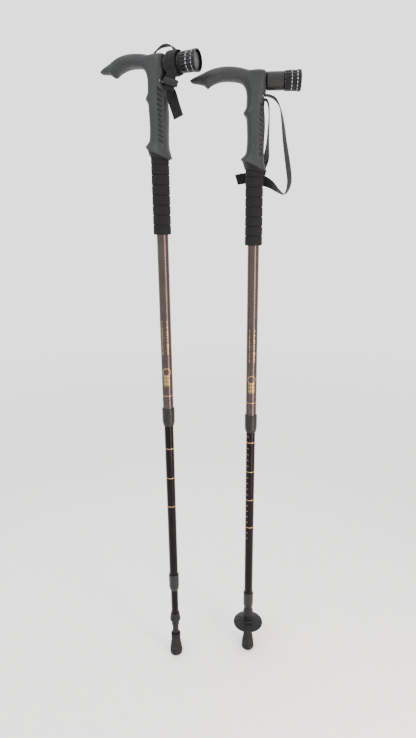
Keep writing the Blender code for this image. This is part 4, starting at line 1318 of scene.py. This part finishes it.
class Handle(Part):
    """Moulded T-handle."""

    size = HandleSizes()
    sides = 176
    steps = 11
    nose_rows = 8
    nose_reach = 1.8

    def build(self) -> None:
        """Makes the handle: squared-off ellipses between two outlines, from flange to nose.

        A section's point is centre + reach * |cos a|^(2/n) + depth * |sin a|^(2/n), with the signs
        of the cosine and the sine.
        """
        s = self.size
        rows = catmull_rom(np.array(s.sections), self.steps)
        angle = angles(self.sides)[None, :]
        power = (2.0 / rows[:, 5])[:, None]
        across, deep = squarish(angle, power, power)
        inner, outer = rows[:, 0:2], rows[:, 2:4]
        centre, reach = (inner + outer) / 2, (outer - inner) / 2
        x = centre[:, :1] + reach[:, :1] * across
        z = centre[:, 1:] + reach[:, 1:] * across
        y = rows[:, 4:5] * deep
        grid = np.stack([x, y, z], -1)
        grid, crease = self.carve(grid)
        grid = np.concatenate([self.bore(grid[0]), grid, self.nose(grid[-1], grid[-2])])
        # Painted shade: full over the bore, the foam's recess and the flange's lip, none on the
        # nose.
        inside = np.ones((len(grid) - len(crease) - self.nose_rows, self.sides))
        crease = np.concatenate([inside, crease, np.zeros((self.nose_rows, self.sides))])
        ends = (np.array([0.0, 0.0, s.bore_top]), grid[-1].mean(0))
        poles = tuple(self.head.to_row(end * MM) for end in ends)
        made = surface(
            self.name("handle"), self.head.to_row(grid * MM), poles=poles, crease=crease
        )
        self.put(made, self.looks.grip, "upper_shaft")

    def nose(self, last: Array, before: Array) -> Array:
        """Rounds off the nose: rows that shrink as a cosine while they move out as a sine.

        Args:
            last: the last section's ring.
            before: the ring before it.

        Returns:
            The rows of the nose.
        """
        centre = last.mean(0)
        out = centre - before.mean(0)
        out /= np.linalg.norm(out)
        turn = np.linspace(0.0, 0.46 * math.pi, self.nose_rows + 1)[1:, None, None]
        return centre + (last - centre)[None] * np.cos(turn) + out * self.nose_reach * np.sin(turn)

    def bore(self, flange: Array) -> Array:
        """The tube's bore and the foam's recess, from the top of the bore out to the flange's lip.

        Args:
            flange: the first section's ring.

        Returns:
            Rows of rings.
        """
        s = self.size
        rows = rounded(
            [
                (s.tube_bore, s.bore_top, 0.0),
                (s.tube_bore, s.recess_top, 0.0),
                (s.recess, s.recess_top, 0.0),
                (s.recess, s.rim_middle, 1.0),
                (s.recess + 0.9, s.rim_middle - 0.2, 1.0),
            ],
            0.5,
        )
        rows = refined(rows, 3.0)
        angle = angles(self.sides)[None, :]
        x, y = rows[:, :1] * np.cos(angle), rows[:, :1] * np.sin(angle)
        z = rows[:, 1:2] + rows[:, 2:] * (s.rim_slope * x)
        rings = np.stack([x, y, z + 0.0 * x], -1)
        middle = flange.mean(0)
        lip = [middle + (flange - middle) * share + (0.0, 0.0, drop) for share, drop in s.lip]
        turned_in = np.argmin(np.hypot(*(flange[0, :2] - rings[-1, :, :2]).T))
        return np.concatenate([np.roll(rings, -turned_in, axis=1), lip])

    def carve(self, grid: Array) -> tuple[Array, Array]:
        """Cuts the finger grooves, the strap slot, the torch's flat face and the boss's round mark.

        Args:
            grid: the handle's surface in millimetres.

        Returns:
            The carved surface and how much painted shade each point gets, from 0 to 1: full in the
            grooves and the strap slot, half on the round mark.
        """
        s = self.size
        x, y, z = np.moveaxis(grid, -1, 0)
        along = np.gradient(grid, axis=0)
        round_it = (np.roll(grid, -1, 1) - np.roll(grid, 1, 1)) / 2
        normal = np.cross(along, round_it)
        normal /= np.linalg.norm(normal, axis=-1, keepdims=True) + 1e-9
        outward = np.sign((normal * (grid - grid.mean(1, keepdims=True))).sum(-1, keepdims=True))
        normal *= outward
        slanted = z + s.groove_slope * x
        phase = (slanted - s.groove_first) / s.groove_pitch
        off = np.abs(phase - np.round(phase)) * s.groove_pitch
        last = s.groove_first - s.groove_pitch * (s.grooves - 0.5)
        first = [s.groove_first + over for over in s.groove_over]
        in_run = smoothstep(last, last + 0.4, slanted) * (1 - smoothstep(*first, slanted))
        groove = (1 - smoothstep(*s.groove_side, off)) * in_run * (1 - smoothstep(*s.groove_out, x))
        groove = groove * smoothstep(*s.groove_in, x) * smoothstep(4.0, 5.0, np.abs(y))
        mark = np.hypot(x - s.mark_place[0], z - s.mark_place[1])
        ring = smoothstep(*s.mark_in, mark) * (1 - smoothstep(*s.mark_out, mark))
        ring = ring * smoothstep(9.0, 10.0, np.abs(y))
        inner_face = 1 - smoothstep(*s.boss_edge, np.hypot(x - s.boss_x, z + TORCH_BELOW_TOP / MM))
        flat = inner_face * smoothstep(9.0, 11.0, np.abs(y))
        depth = s.groove_depth * groove + s.mark_depth * ring
        grid = grid - normal * depth[..., None]
        side = np.clip(np.abs(grid[..., 1]), 0.0, s.boss_half)
        grid[..., 1] = np.where(
            flat > 0, np.sign(y) * (np.abs(grid[..., 1]) * (1 - flat) + side * flat), grid[..., 1]
        )
        in_slot = (
            (1 - smoothstep(s.slot_half - 0.4, s.slot_half + 0.4, np.abs(z - s.slot_height)))
            * (1 - smoothstep(s.slot_width - 0.3, s.slot_width + 0.5, np.abs(y)))
            * (x > s.slot_mouth)
        )
        grid[..., 0] = grid[..., 0] * (1 - in_slot) + s.slot_floor * in_slot
        near_lamp = np.hypot(grid[..., 1], grid[..., 2] + TORCH_BELOW_TOP / MM) < s.face_radius
        on_face = near_lamp & (grid[..., 0] > s.face)
        grid[..., 0] = np.where(on_face, s.face, grid[..., 0])
        # Painted shade: full in the finger grooves and the strap slot, half on the boss's round
        # mark.
        return grid, np.clip(groove + 0.5 * ring + in_slot, 0.0, 1.0)


@dataclass(frozen=True)
class TorchSizes:
    """Torch, in metres along its own axis from the pole's axis."""

    face: float = 14.1 * MM
    barrel_radius: float = 11.0 * MM
    barrel_end: float = 35.0 * MM
    neck_radius: float = 9.2 * MM
    neck_end: float = 43.5 * MM
    cell_radius: float = 5.8 * MM
    cell_base: float = 24.3 * MM
    board_base: float = 43.8 * MM
    board: float = 1.6 * MM
    led_radius: float = 2.5 * MM
    end: float = 57.5 * MM
    back_radius: float = 11.8 * MM
    rim_radius: float = 12.8 * MM
    wall: float = 1.6 * MM
    lens: float = 1.5 * MM
    lens_inset: float = 2.6 * MM
    reflector: float = 0.8 * MM
    flutes: int = 18
    flute_depth: float = 0.7 * MM
    bands: tuple[tuple[float, float], ...] = ((45.3, 12.2), (52.4, 12.6))  # height, radius, mm
    band_half: float = 0.35
    dash_share: float = 0.62


class Torch(Part):
    """Torch on the handle's boss."""

    size = TorchSizes()

    def build(self) -> None:
        """Makes the torch's body, board, reflector, lens and head."""
        s = self.size
        bore = s.cell_radius + GAP
        corners = [
            (0.0, s.face),
            (s.barrel_radius - 0.5 * MM, s.face),
            (s.barrel_radius, s.face + 0.6 * MM),
            (s.barrel_radius, s.face + 1.6 * MM),
            (s.barrel_radius - 0.3 * MM, s.face + 1.9 * MM),
            (s.barrel_radius - 0.3 * MM, s.face + 2.4 * MM),
            (s.barrel_radius, s.face + 2.7 * MM),
            (s.barrel_radius, s.barrel_end),
            (s.neck_radius, s.barrel_end),
            (s.neck_radius, s.neck_end),
            (bore, s.neck_end),
            (bore, s.cell_base - GAP),
            (0.0, s.cell_base - GAP),
        ]
        profile = refined(rounded(corners, 0.4 * MM), 1.2 * MM)
        self.turn("torch_body", profile, self.looks.torch, "upper_shaft", place=self.lamp)
        self.build_light()
        self.build_head()

    def build_light(self) -> None:
        """Makes the LED board, the reflector and the lens."""
        s = self.size
        top = s.board_base + s.board
        back_bore = s.neck_radius + GAP
        dome = angles(32)[:9]
        led = np.stack([s.led_radius * np.sin(dome), top + s.led_radius * np.cos(dome)], -1)
        rim = [(back_bore - 2 * GAP, top), (back_bore - 2 * GAP, s.board_base), (0.0, s.board_base)]
        looks, head, lamp = self.looks, "torch_head", self.lamp
        profile = np.vstack([led, rim])
        self.turn("torch_led_board", profile, looks.board, head, 48, lamp)
        lens_base = s.end - s.lens_inset - s.lens
        inner = s.rim_radius - s.wall
        base, throat = top + GAP, s.led_radius + GAP
        mouth = inner - GAP - s.reflector
        share = np.linspace(0.0, 1.0, 24)
        height = base + (lens_base - GAP - base) * share
        bowl = np.stack([throat + (mouth - throat) * share**0.6, height], -1)
        outside = bowl[::-1] + np.array([s.reflector, 0.0])
        profile = np.vstack([bowl, outside])
        self.turn("torch_reflector", profile, looks.reflector, head, place=lamp)
        corners = [
            (0.0, lens_base + s.lens + 0.25 * MM),
            (inner - GAP - 3.0 * MM, lens_base + s.lens + 0.15 * MM),
            (inner - GAP, lens_base + s.lens),
            (inner - GAP, lens_base),
            (0.0, lens_base),
        ]
        self.turn("torch_lens", rounded(corners, 0.3 * MM), looks.lens, head, place=lamp)

    def build_head(self) -> None:
        """Makes the head: a fluted bell with a stepped rim."""
        s = self.size
        top = s.board_base + s.board
        inner = s.rim_radius - s.wall
        middle = (s.neck_end + s.end) / 2
        back_bore = s.neck_radius + GAP
        corners = [
            (inner, s.end - 2.0 * MM),
            (inner, top + GAP),
            (back_bore, top + GAP / 2),
            (back_bore, s.barrel_end + GAP),
            (s.back_radius - 0.8 * MM, s.barrel_end + GAP),
            (s.back_radius, s.barrel_end + 1.2 * MM),
            (s.back_radius + 0.4 * MM, s.neck_end),
            (s.rim_radius - 0.7 * MM, middle),
            (s.rim_radius, s.end - 4.0 * MM),
            (s.rim_radius, s.end - 0.5 * MM),
            (s.rim_radius - 0.5 * MM, s.end),
            (inner, s.end),
            (inner, s.end - 2.0 * MM),
        ]
        profile = refined(rounded(corners, 0.4 * MM), 0.35 * MM)[:-1]

        def flutes(angle: Array, radius: Array, height: Array) -> tuple[Array, Array]:
            """Lengthwise flutes: the depth follows a flattened cosine of the angle."""
            outside = smoothstep(s.back_radius - 0.5 * MM, s.back_radius, radius)
            outside = outside * (radius > inner + 0.1 * MM)
            band = smoothstep(s.barrel_end + 1.5 * MM, s.barrel_end + 2.7 * MM, height)
            band = band * (1 - smoothstep(s.end - 2.4 * MM, s.end - 1.4 * MM, height))
            wave = (0.5 - 0.5 * np.cos(s.flutes * angle)) ** 1.5
            return -s.flute_depth * outside * band * wave, 0.0 * height

        look = self.looks.torch_head
        self.turn("torch_head", profile, look, "torch_head", 288, place=self.lamp, ripple=flutes)


@dataclass(frozen=True)
class StrapSizes:
    """Webbing and slider, in metres; stations in millimetres in the handle's frame.

    A station is the centre x, y, z and the half-width vector x, y, z.
    """

    half_width: float = 7.0 * MM
    thickness: float = 1.3 * MM
    pin: tuple[float, float] = (8.0, -32.0)
    pin_radius: float = 1.5
    slider_wall: float = 1.6 * MM
    slider_length: float = 8.0 * MM
    slider_spare: float = 0.9 * MM  # between two plies
    slider_steps: int = 96
    slider_sides: int = 24
    slider_corner: float = 0.3  # how square its outline is
    slider_edge: float = 0.5  # how square its section is
    outer: tuple[tuple[float, ...], ...] = (
        (-24.0, 15.9, -130.6, -2.0, 0.0, 6.7),
        (-10.0, 15.9, -128.6, -1.2, 0.0, 6.9),
        (2.0, 15.9, -129.3, 0.0, 0.0, 7.0),
        (14.0, 15.2, -132.5, 1.6, 1.6, 6.6),
        (24.0, 11.0, -138.0, 2.2, 4.4, 5.0),
        (33.5, 4.5, -146.5, 1.4, 6.4, 2.4),
        (40.5, 0.5, -150.8, 1.4, 6.8, 0.6),
        (45.0, -0.5, -145.0, 2.6, 6.5, 0.2),
        (47.0, -0.8, -134.0, 3.6, 6.0, 0.0),
        (45.6, -0.6, -121.0, 4.0, 5.7, 0.0),
        (42.4, -0.4, -102.0, 3.8, 5.9, 0.0),
        (39.0, -0.2, -82.0, 3.2, 6.2, 0.0),
        (36.0, 0.0, -61.0, 2.4, 6.6, 0.0),
        (32.4, 0.0, -45.0, 1.2, 6.9, 0.0),
        (26.0, 0.0, -34.4, 0.0, 7.0, 0.0),
        (18.6, 0.0, -30.4, 0.0, 7.0, 0.0),
        (13.0, 0.0, -29.5, 0.0, 7.0, 0.0),
    )
    inner: tuple[tuple[float, ...], ...] = (
        (13.2, 0.0, -34.6, 0.0, 7.0, 0.0),
        (16.2, 0.0, -38.0, 0.0, 7.0, 0.0),
        (17.8, 0.2, -46.0, 0.2, 7.0, 0.0),
        (18.2, 1.0, -58.0, 0.8, 6.9, 0.0),
        (17.8, 3.4, -74.0, 1.4, 6.8, 0.0),
        (17.4, 9.0, -90.0, 2.6, 6.4, 0.0),
        (16.2, 17.0, -103.0, 4.6, 5.2, 0.0),
        (12.0, 20.0, -111.0, 6.6, 2.2, 0.0),
        (9.0, 20.3, -117.0, 7.0, 0.0, 0.0),
    )
    fold: tuple[tuple[float, ...], ...] = (
        (9.0, 20.3, -129.3, 7.0, 0.0, 7.0),
        (9.7, 19.2, -130.0, 7.0, 0.0, 7.0),
        (9.0, 18.1, -129.3, 7.0, 0.0, 7.0),
        (0.5, 18.1, -129.3, 0.0, 0.0, 7.0),
        (-9.0, 18.1, -129.3, 0.0, 0.0, 7.0),
    )
    tail: tuple[tuple[float, ...], ...] = (
        (27.4, 3.0, -73.5, 6.5, 0.5, 2.4),
        (22.6, 3.0, -60.0, 6.5, 0.5, 2.4),
        (18.6, 3.2, -48.5, 6.2, 1.8, 2.6),
        (16.9, 3.0, -41.5, 3.6, 5.4, 2.0),
        (15.9, 2.4, -37.4, 1.0, 6.9, 0.4),
        (13.2, 0.0, -34.6, 0.0, 7.0, 0.0),
    )
    rise: tuple[tuple[float, ...], ...] = (
        (13.2, 0.0, -29.4, 0.0, 7.0, 0.0),
        (17.0, 0.0, -28.4, 0.0, 7.0, 0.0),
        (21.0, 0.0, -26.4, 0.0, 6.6, 0.0),
        (24.0, 0.0, -25.6, 0.0, 6.0, 0.0),
    )
    loop: tuple[tuple[float, ...], ...] = (
        (22.0, 12.6, -14.0, 0.0, 0.0, 5.0),
        (14.5, 16.6, -14.0, 0.0, 0.0, 6.6),
        (4.0, 19.5, -11.0, 0.0, 0.0, 7.0),
        (-7.0, 20.6, -8.0, 0.5, 0.0, 7.0),
        (-13.0, 18.6, -5.8, 0.5, 0.3, 7.0),
        (-15.6, 18.0, -2.4, 0.6, 0.5, 6.9),
        (-14.8, 16.8, 1.6, 0.8, 1.6, 6.8),
        (-9.6, 13.2, 5.6, 1.0, 4.4, 5.3),
        (-1.0, 8.4, 7.8, 0.6, 6.2, 3.0),
        (8.0, 3.8, 8.8, 0.0, 6.9, 1.0),
        (17.0, 1.4, 8.2, 0.0, 7.0, 0.2),
        (23.8, 0.4, 4.8, 0.0, 6.6, 0.0),
        (26.4, 0.0, -0.2, 0.0, 5.6, 0.0),
    )
    flap: tuple[tuple[float, ...], ...] = (
        (27.0, -11.4, -20.5, 6.4, 0.0, -1.0),
        (26.2, -11.2, -26.0, 6.5, 0.0, -1.8),
        (24.0, -10.0, -35.5, 6.5, 0.0, -2.6),
        (21.0, -9.0, -43.5, 6.5, 0.0, -2.6),
    )
    winding_start: float = 17.4
    winding_inside: float = 11.3
    turns: float = 2.0
    steps: int = 9


def route_length(rows: Array) -> float:
    """The length of a route of stations."""
    return float(np.linalg.norm(np.diff(rows[:, :3], axis=0), axis=1).sum())


class Strap(Part):
    """Wrist strap and its slider: hanging on the right pole, wound round the torch on the left."""

    size = StrapSizes()

    def build(self) -> None:
        """Makes the strap and the slider."""
        if self.sizes.has_basket:
            self.build_hanging()
        else:
            self.build_wound()

    def pin_turn(self) -> Array:
        """The strap's way round the pin, from the upper ply to the lower one.

        Returns:
            Stations in millimetres.
        """
        s = self.size
        reach = s.pin_radius + GAP / MM + s.thickness / MM / 2 + 0.1
        angle = np.radians([90.0, 130.0, 180.0, 230.0, 270.0])
        x, z = s.pin[0] + reach * np.cos(angle), s.pin[1] + reach * np.sin(angle)
        zero = 0.0 * x
        return np.stack([x, zero, z, zero, zero + s.half_width / MM, zero], -1)

    def build_hanging(self) -> None:
        """Makes the strap that hangs beside the handle, with its two plies in the slider."""
        s = self.size
        route = catmull_rom(np.vstack([s.outer, self.pin_turn(), s.inner]), s.steps)
        fold = refined(np.array([route[-1], *s.fold]), 1.6)[1:]
        route = np.vstack([route, fold])
        made = ribbon(self.name("wrist_strap"), route * MM, s.thickness, self.head)
        self.finish(made, route_length(route) * MM)
        self.build_slider((-2.5, 17.0, -129.3), 0.0, 2)

    def build_wound(self) -> None:
        """Makes the strap wound round the torch's barrel, with its loop and its two ends."""
        s = self.size
        first = catmull_rom(np.vstack([s.tail, self.pin_turn()[::-1], s.rise]), s.steps)
        rest = [catmull_rom(np.array(rows), s.steps) for rows in (s.loop, s.flap)]
        routes = [first, self.winding(), *rest]
        pieces = [
            ribbon(f"{self.name('wrist_strap')}_{i}", route * MM, s.thickness, self.head)
            for i, route in enumerate(routes)
        ]
        made = joined(self.name("wrist_strap"), pieces)
        self.finish(made, sum(route_length(route) for route in routes) * MM)
        self.build_slider((24.1, -10.2, -35.4), math.atan2(8.0, -3.0), 1)

    def winding(self) -> Array:
        """Turns of webbing round the barrel: a spiral whose radius grows by one ply each turn.

        Returns:
            Stations in millimetres.
        """
        s = self.size
        ply = s.thickness / MM
        turn = np.linspace(0.0, s.turns, 120)
        angle = math.tau * turn - math.pi / 2
        radius = s.winding_inside + ply * (0.5 + 1.02 * turn)
        over = smoothstep(0.9, 1.15, turn)
        x = s.winding_start + s.half_width / MM + over * (1.6 + 0.8 * np.sin(math.tau * turn))
        y, z = radius * np.cos(angle), radius * np.sin(angle) - TORCH_BELOW_TOP / MM
        half = 0.0 * x + s.half_width / MM
        return np.stack([x, y, z, half, 0.0 * x, 0.0 * x], -1)

    def finish(self, made: bpy.types.Object, length: float) -> None:
        """Args:
            made: the strap.
            length: its real length; not used.
        """
        self.put(made, self.looks.webbing, "upper_shaft", ["wrist_strap"])

    def build_slider(self, centre: Sequence[float], slope: float, plies: int) -> None:
        """Makes the slider: a rounded bar carried round a rounded rectangle.

        Args:
            centre: its place in millimetres in the handle's frame.
            slope: its turn about y, in radians.
            plies: how many plies of webbing it holds.
        """
        s = self.size
        half_height = s.half_width + 4 * GAP + s.slider_wall / 2
        room = plies * s.thickness + (plies - 1) * s.slider_spare
        half_depth = room / 2 + 3 * GAP + s.slider_wall / 2
        path_y, path_z = squarish(angles(s.slider_steps), s.slider_corner, s.slider_corner)
        path_y, path_z = path_y * half_depth, path_z * half_height
        normal = np.stack(
            [np.roll(path_z, -1) - np.roll(path_z, 1), np.roll(path_y, 1) - np.roll(path_y, -1)], -1
        )
        normal /= np.linalg.norm(normal, axis=1, keepdims=True)
        deep, wide = squarish(angles(s.slider_sides), s.slider_edge, s.slider_edge)
        deep, wide = deep * s.slider_wall / 2, wide * s.slider_length / 2
        y = path_y[:, None] + normal[:, :1] * deep
        z = path_z[:, None] + normal[:, 1:] * deep
        x = np.repeat(wide[None], s.slider_steps, 0)
        grid = np.stack([x, y, z], -1)
        turn = np.array(Euler((0.0, slope, 0.0)).to_matrix())
        grid = grid @ turn.T + np.array(centre) * MM
        made = surface(self.name("strap_slider"), self.head.to_row(grid), closed=True)
        self.put(made, self.looks.plastic, "upper_shaft")


class Pole:
    """One pole: every visible sub-assembly of it."""

    sections = (Foot, Ferrule, Shaft, Foam, Handle, Torch, Strap)

    def __init__(self, sizes: PoleSizes, looks: Looks) -> None:
        """Keeps what the pole is built from."""
        self.sizes = sizes
        self.looks = looks

    def build(self) -> None:
        """Builds the pole's sub-assemblies and finishes the CAD pieces inside it."""
        for section in self.sections:
            section(self.sizes, self.looks).build()
        self.finish_inside()
        LOG.info("built the %s pole", self.sizes.side)

    def finish_inside(self) -> None:
        """Gives the locks, the spring, the batteries and the pin their materials."""
        looks = self.looks
        inside = {
            "lower_lock_stud": looks.lock,
            "upper_lock_stud": looks.lock,
            "lower_lock_cone": looks.lock,
            "upper_lock_cone": looks.lock,
            "shock_plug": looks.lock,
            "lower_lock_expander": looks.expander,
            "upper_lock_expander": looks.expander,
            "shock_spring": looks.steel,
            "strap_pin": looks.steel,
            "torch_batteries": looks.battery,
        }
        for label, look in inside.items():
            node = bpy.data.objects[f"{self.sizes.side}_{label}"]
            node.data.materials.clear()
            node.data.materials.append(look.material)


# The stage


@dataclass(frozen=True)
class CameraSizes:
    """The camera's place, in metres and degrees."""

    place: tuple[float, float, float] = (0.0901, -0.7212, 0.7258)
    pitch: float = 16.22
    roll: float = 0.585
    yaw: float = -2.353
    lens: float = 24.97


def make_camera(sizes: CameraSizes) -> None:
    """Makes the scene's camera.

    Args:
        sizes: its place, its angles and its lens.
    """
    data = bpy.data.cameras.new("camera")
    data.lens = sizes.lens
    data.sensor_width = 36.0
    camera = bpy.data.objects.new("camera", data)
    camera.location = sizes.place
    look = Euler((math.radians(90.0 - sizes.pitch), 0.0, -math.radians(sizes.yaw))).to_matrix()
    roll = Euler((0.0, 0.0, -math.radians(sizes.roll))).to_matrix()
    camera.rotation_euler = (look @ roll).to_euler()
    bpy.context.scene.collection.objects.link(camera)
    bpy.context.scene.camera = camera


@dataclass(frozen=True)
class Softbox:
    """One area light, which faces its target."""

    name: str
    place: tuple[float, float, float]
    target: tuple[float, float, float]
    width: float
    height: float
    power: float
    colour: str

    def build(self) -> None:
        """Adds the light to the scene."""
        data = bpy.data.lights.new(self.name, "AREA")
        data.shape = "RECTANGLE"
        data.size, data.size_y = self.width, self.height
        data.energy = self.power
        data.color = srgb(self.colour)[:3]
        light = bpy.data.objects.new(self.name, data)
        light.location = self.place
        aim = Vector(self.target) - Vector(self.place)
        light.rotation_euler = aim.to_track_quat("-Z", "Y").to_euler()
        bpy.context.scene.collection.objects.link(light)


SOFTBOXES = (
    Softbox("key", (-0.8, -1.3, 1.9), (0.06, 0.0, 0.6), 1.0, 1.0, 26.0, "#fbfffc"),
    Softbox("strip", (0.52, -0.46, 0.45), (0.06, 0.0, 0.45), 0.17, 0.95, 8.0, "#ffe0da"),
    Softbox("top", (0.1, -0.1, 2.2), (0.06, 0.0, 0.4), 1.4, 1.4, 6.0, "#ffffff"),
)


@dataclass(frozen=True)
class StageSizes:
    """The floor, in metres, and the surroundings."""

    radius: float = 3.0
    rings: int = 24
    sides: int = 96
    drop: float = 0.4 * MM
    thickness: float = 10.0 * MM
    fade: tuple[float, float] = (0.5, 2.4)  # where the floor starts to thin out, and is gone
    sky: str = "#f4f4f3"
    sky_strength: float = 2.4


def make_stage() -> None:
    """Makes the pale floor, which fades out into the pale surroundings, and the lights."""
    s = StageSizes()
    share = np.linspace(0.0, 1.0, s.rings + 1)[1:]
    angle = angles(s.sides)
    x, y = s.radius * np.outer(share, np.cos(angle)), s.radius * np.outer(share, np.sin(angle))
    top = np.stack([x, y, 0.0 * x - s.drop], -1)
    under = top[::-1] - np.array([0.0, 0.0, s.thickness])
    poles = tuple(np.array([0.0, 0.0, z]) for z in (-s.drop, -s.drop - s.thickness))
    floor = surface("floor", np.concatenate([top, under]), poles=poles)
    graph = Finish("matt_floor", "#efefed", "#ebebe9", 0.8, grain=2.0, relief=0.02).graph()[0]
    place = graph.add("ShaderNodeTexCoord").outputs["Object"]
    reach = graph.add("ShaderNodeVectorMath", {0: place}, operation="LENGTH").outputs["Value"]
    start, gone = s.fade
    fade = graph.add(
        "ShaderNodeMapRange",
        {"Value": reach, "From Min": start, "From Max": gone, "To Min": 1.0, "To Max": 0.0},
    ).outputs[0]
    graph.feed(graph.shader, {"Alpha": fade})
    floor.data.materials.append(graph.material)
    world = bpy.data.worlds.new("studio")
    world.use_nodes = True
    sky = world.node_tree.nodes["Background"]
    sky.inputs["Color"].default_value = srgb(s.sky)
    sky.inputs["Strength"].default_value = s.sky_strength
    bpy.context.scene.world = world
    for box in SOFTBOXES:
        box.build()


def main() -> None:
    """Builds the poles, the stage and the camera."""
    logging.basicConfig(level=logging.INFO)
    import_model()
    looks = Looks()
    for sizes in (LEFT, RIGHT):
        Pole(sizes, looks).build()
    make_stage()
    make_camera(CameraSizes())


if __name__ == "__main__":
    main()
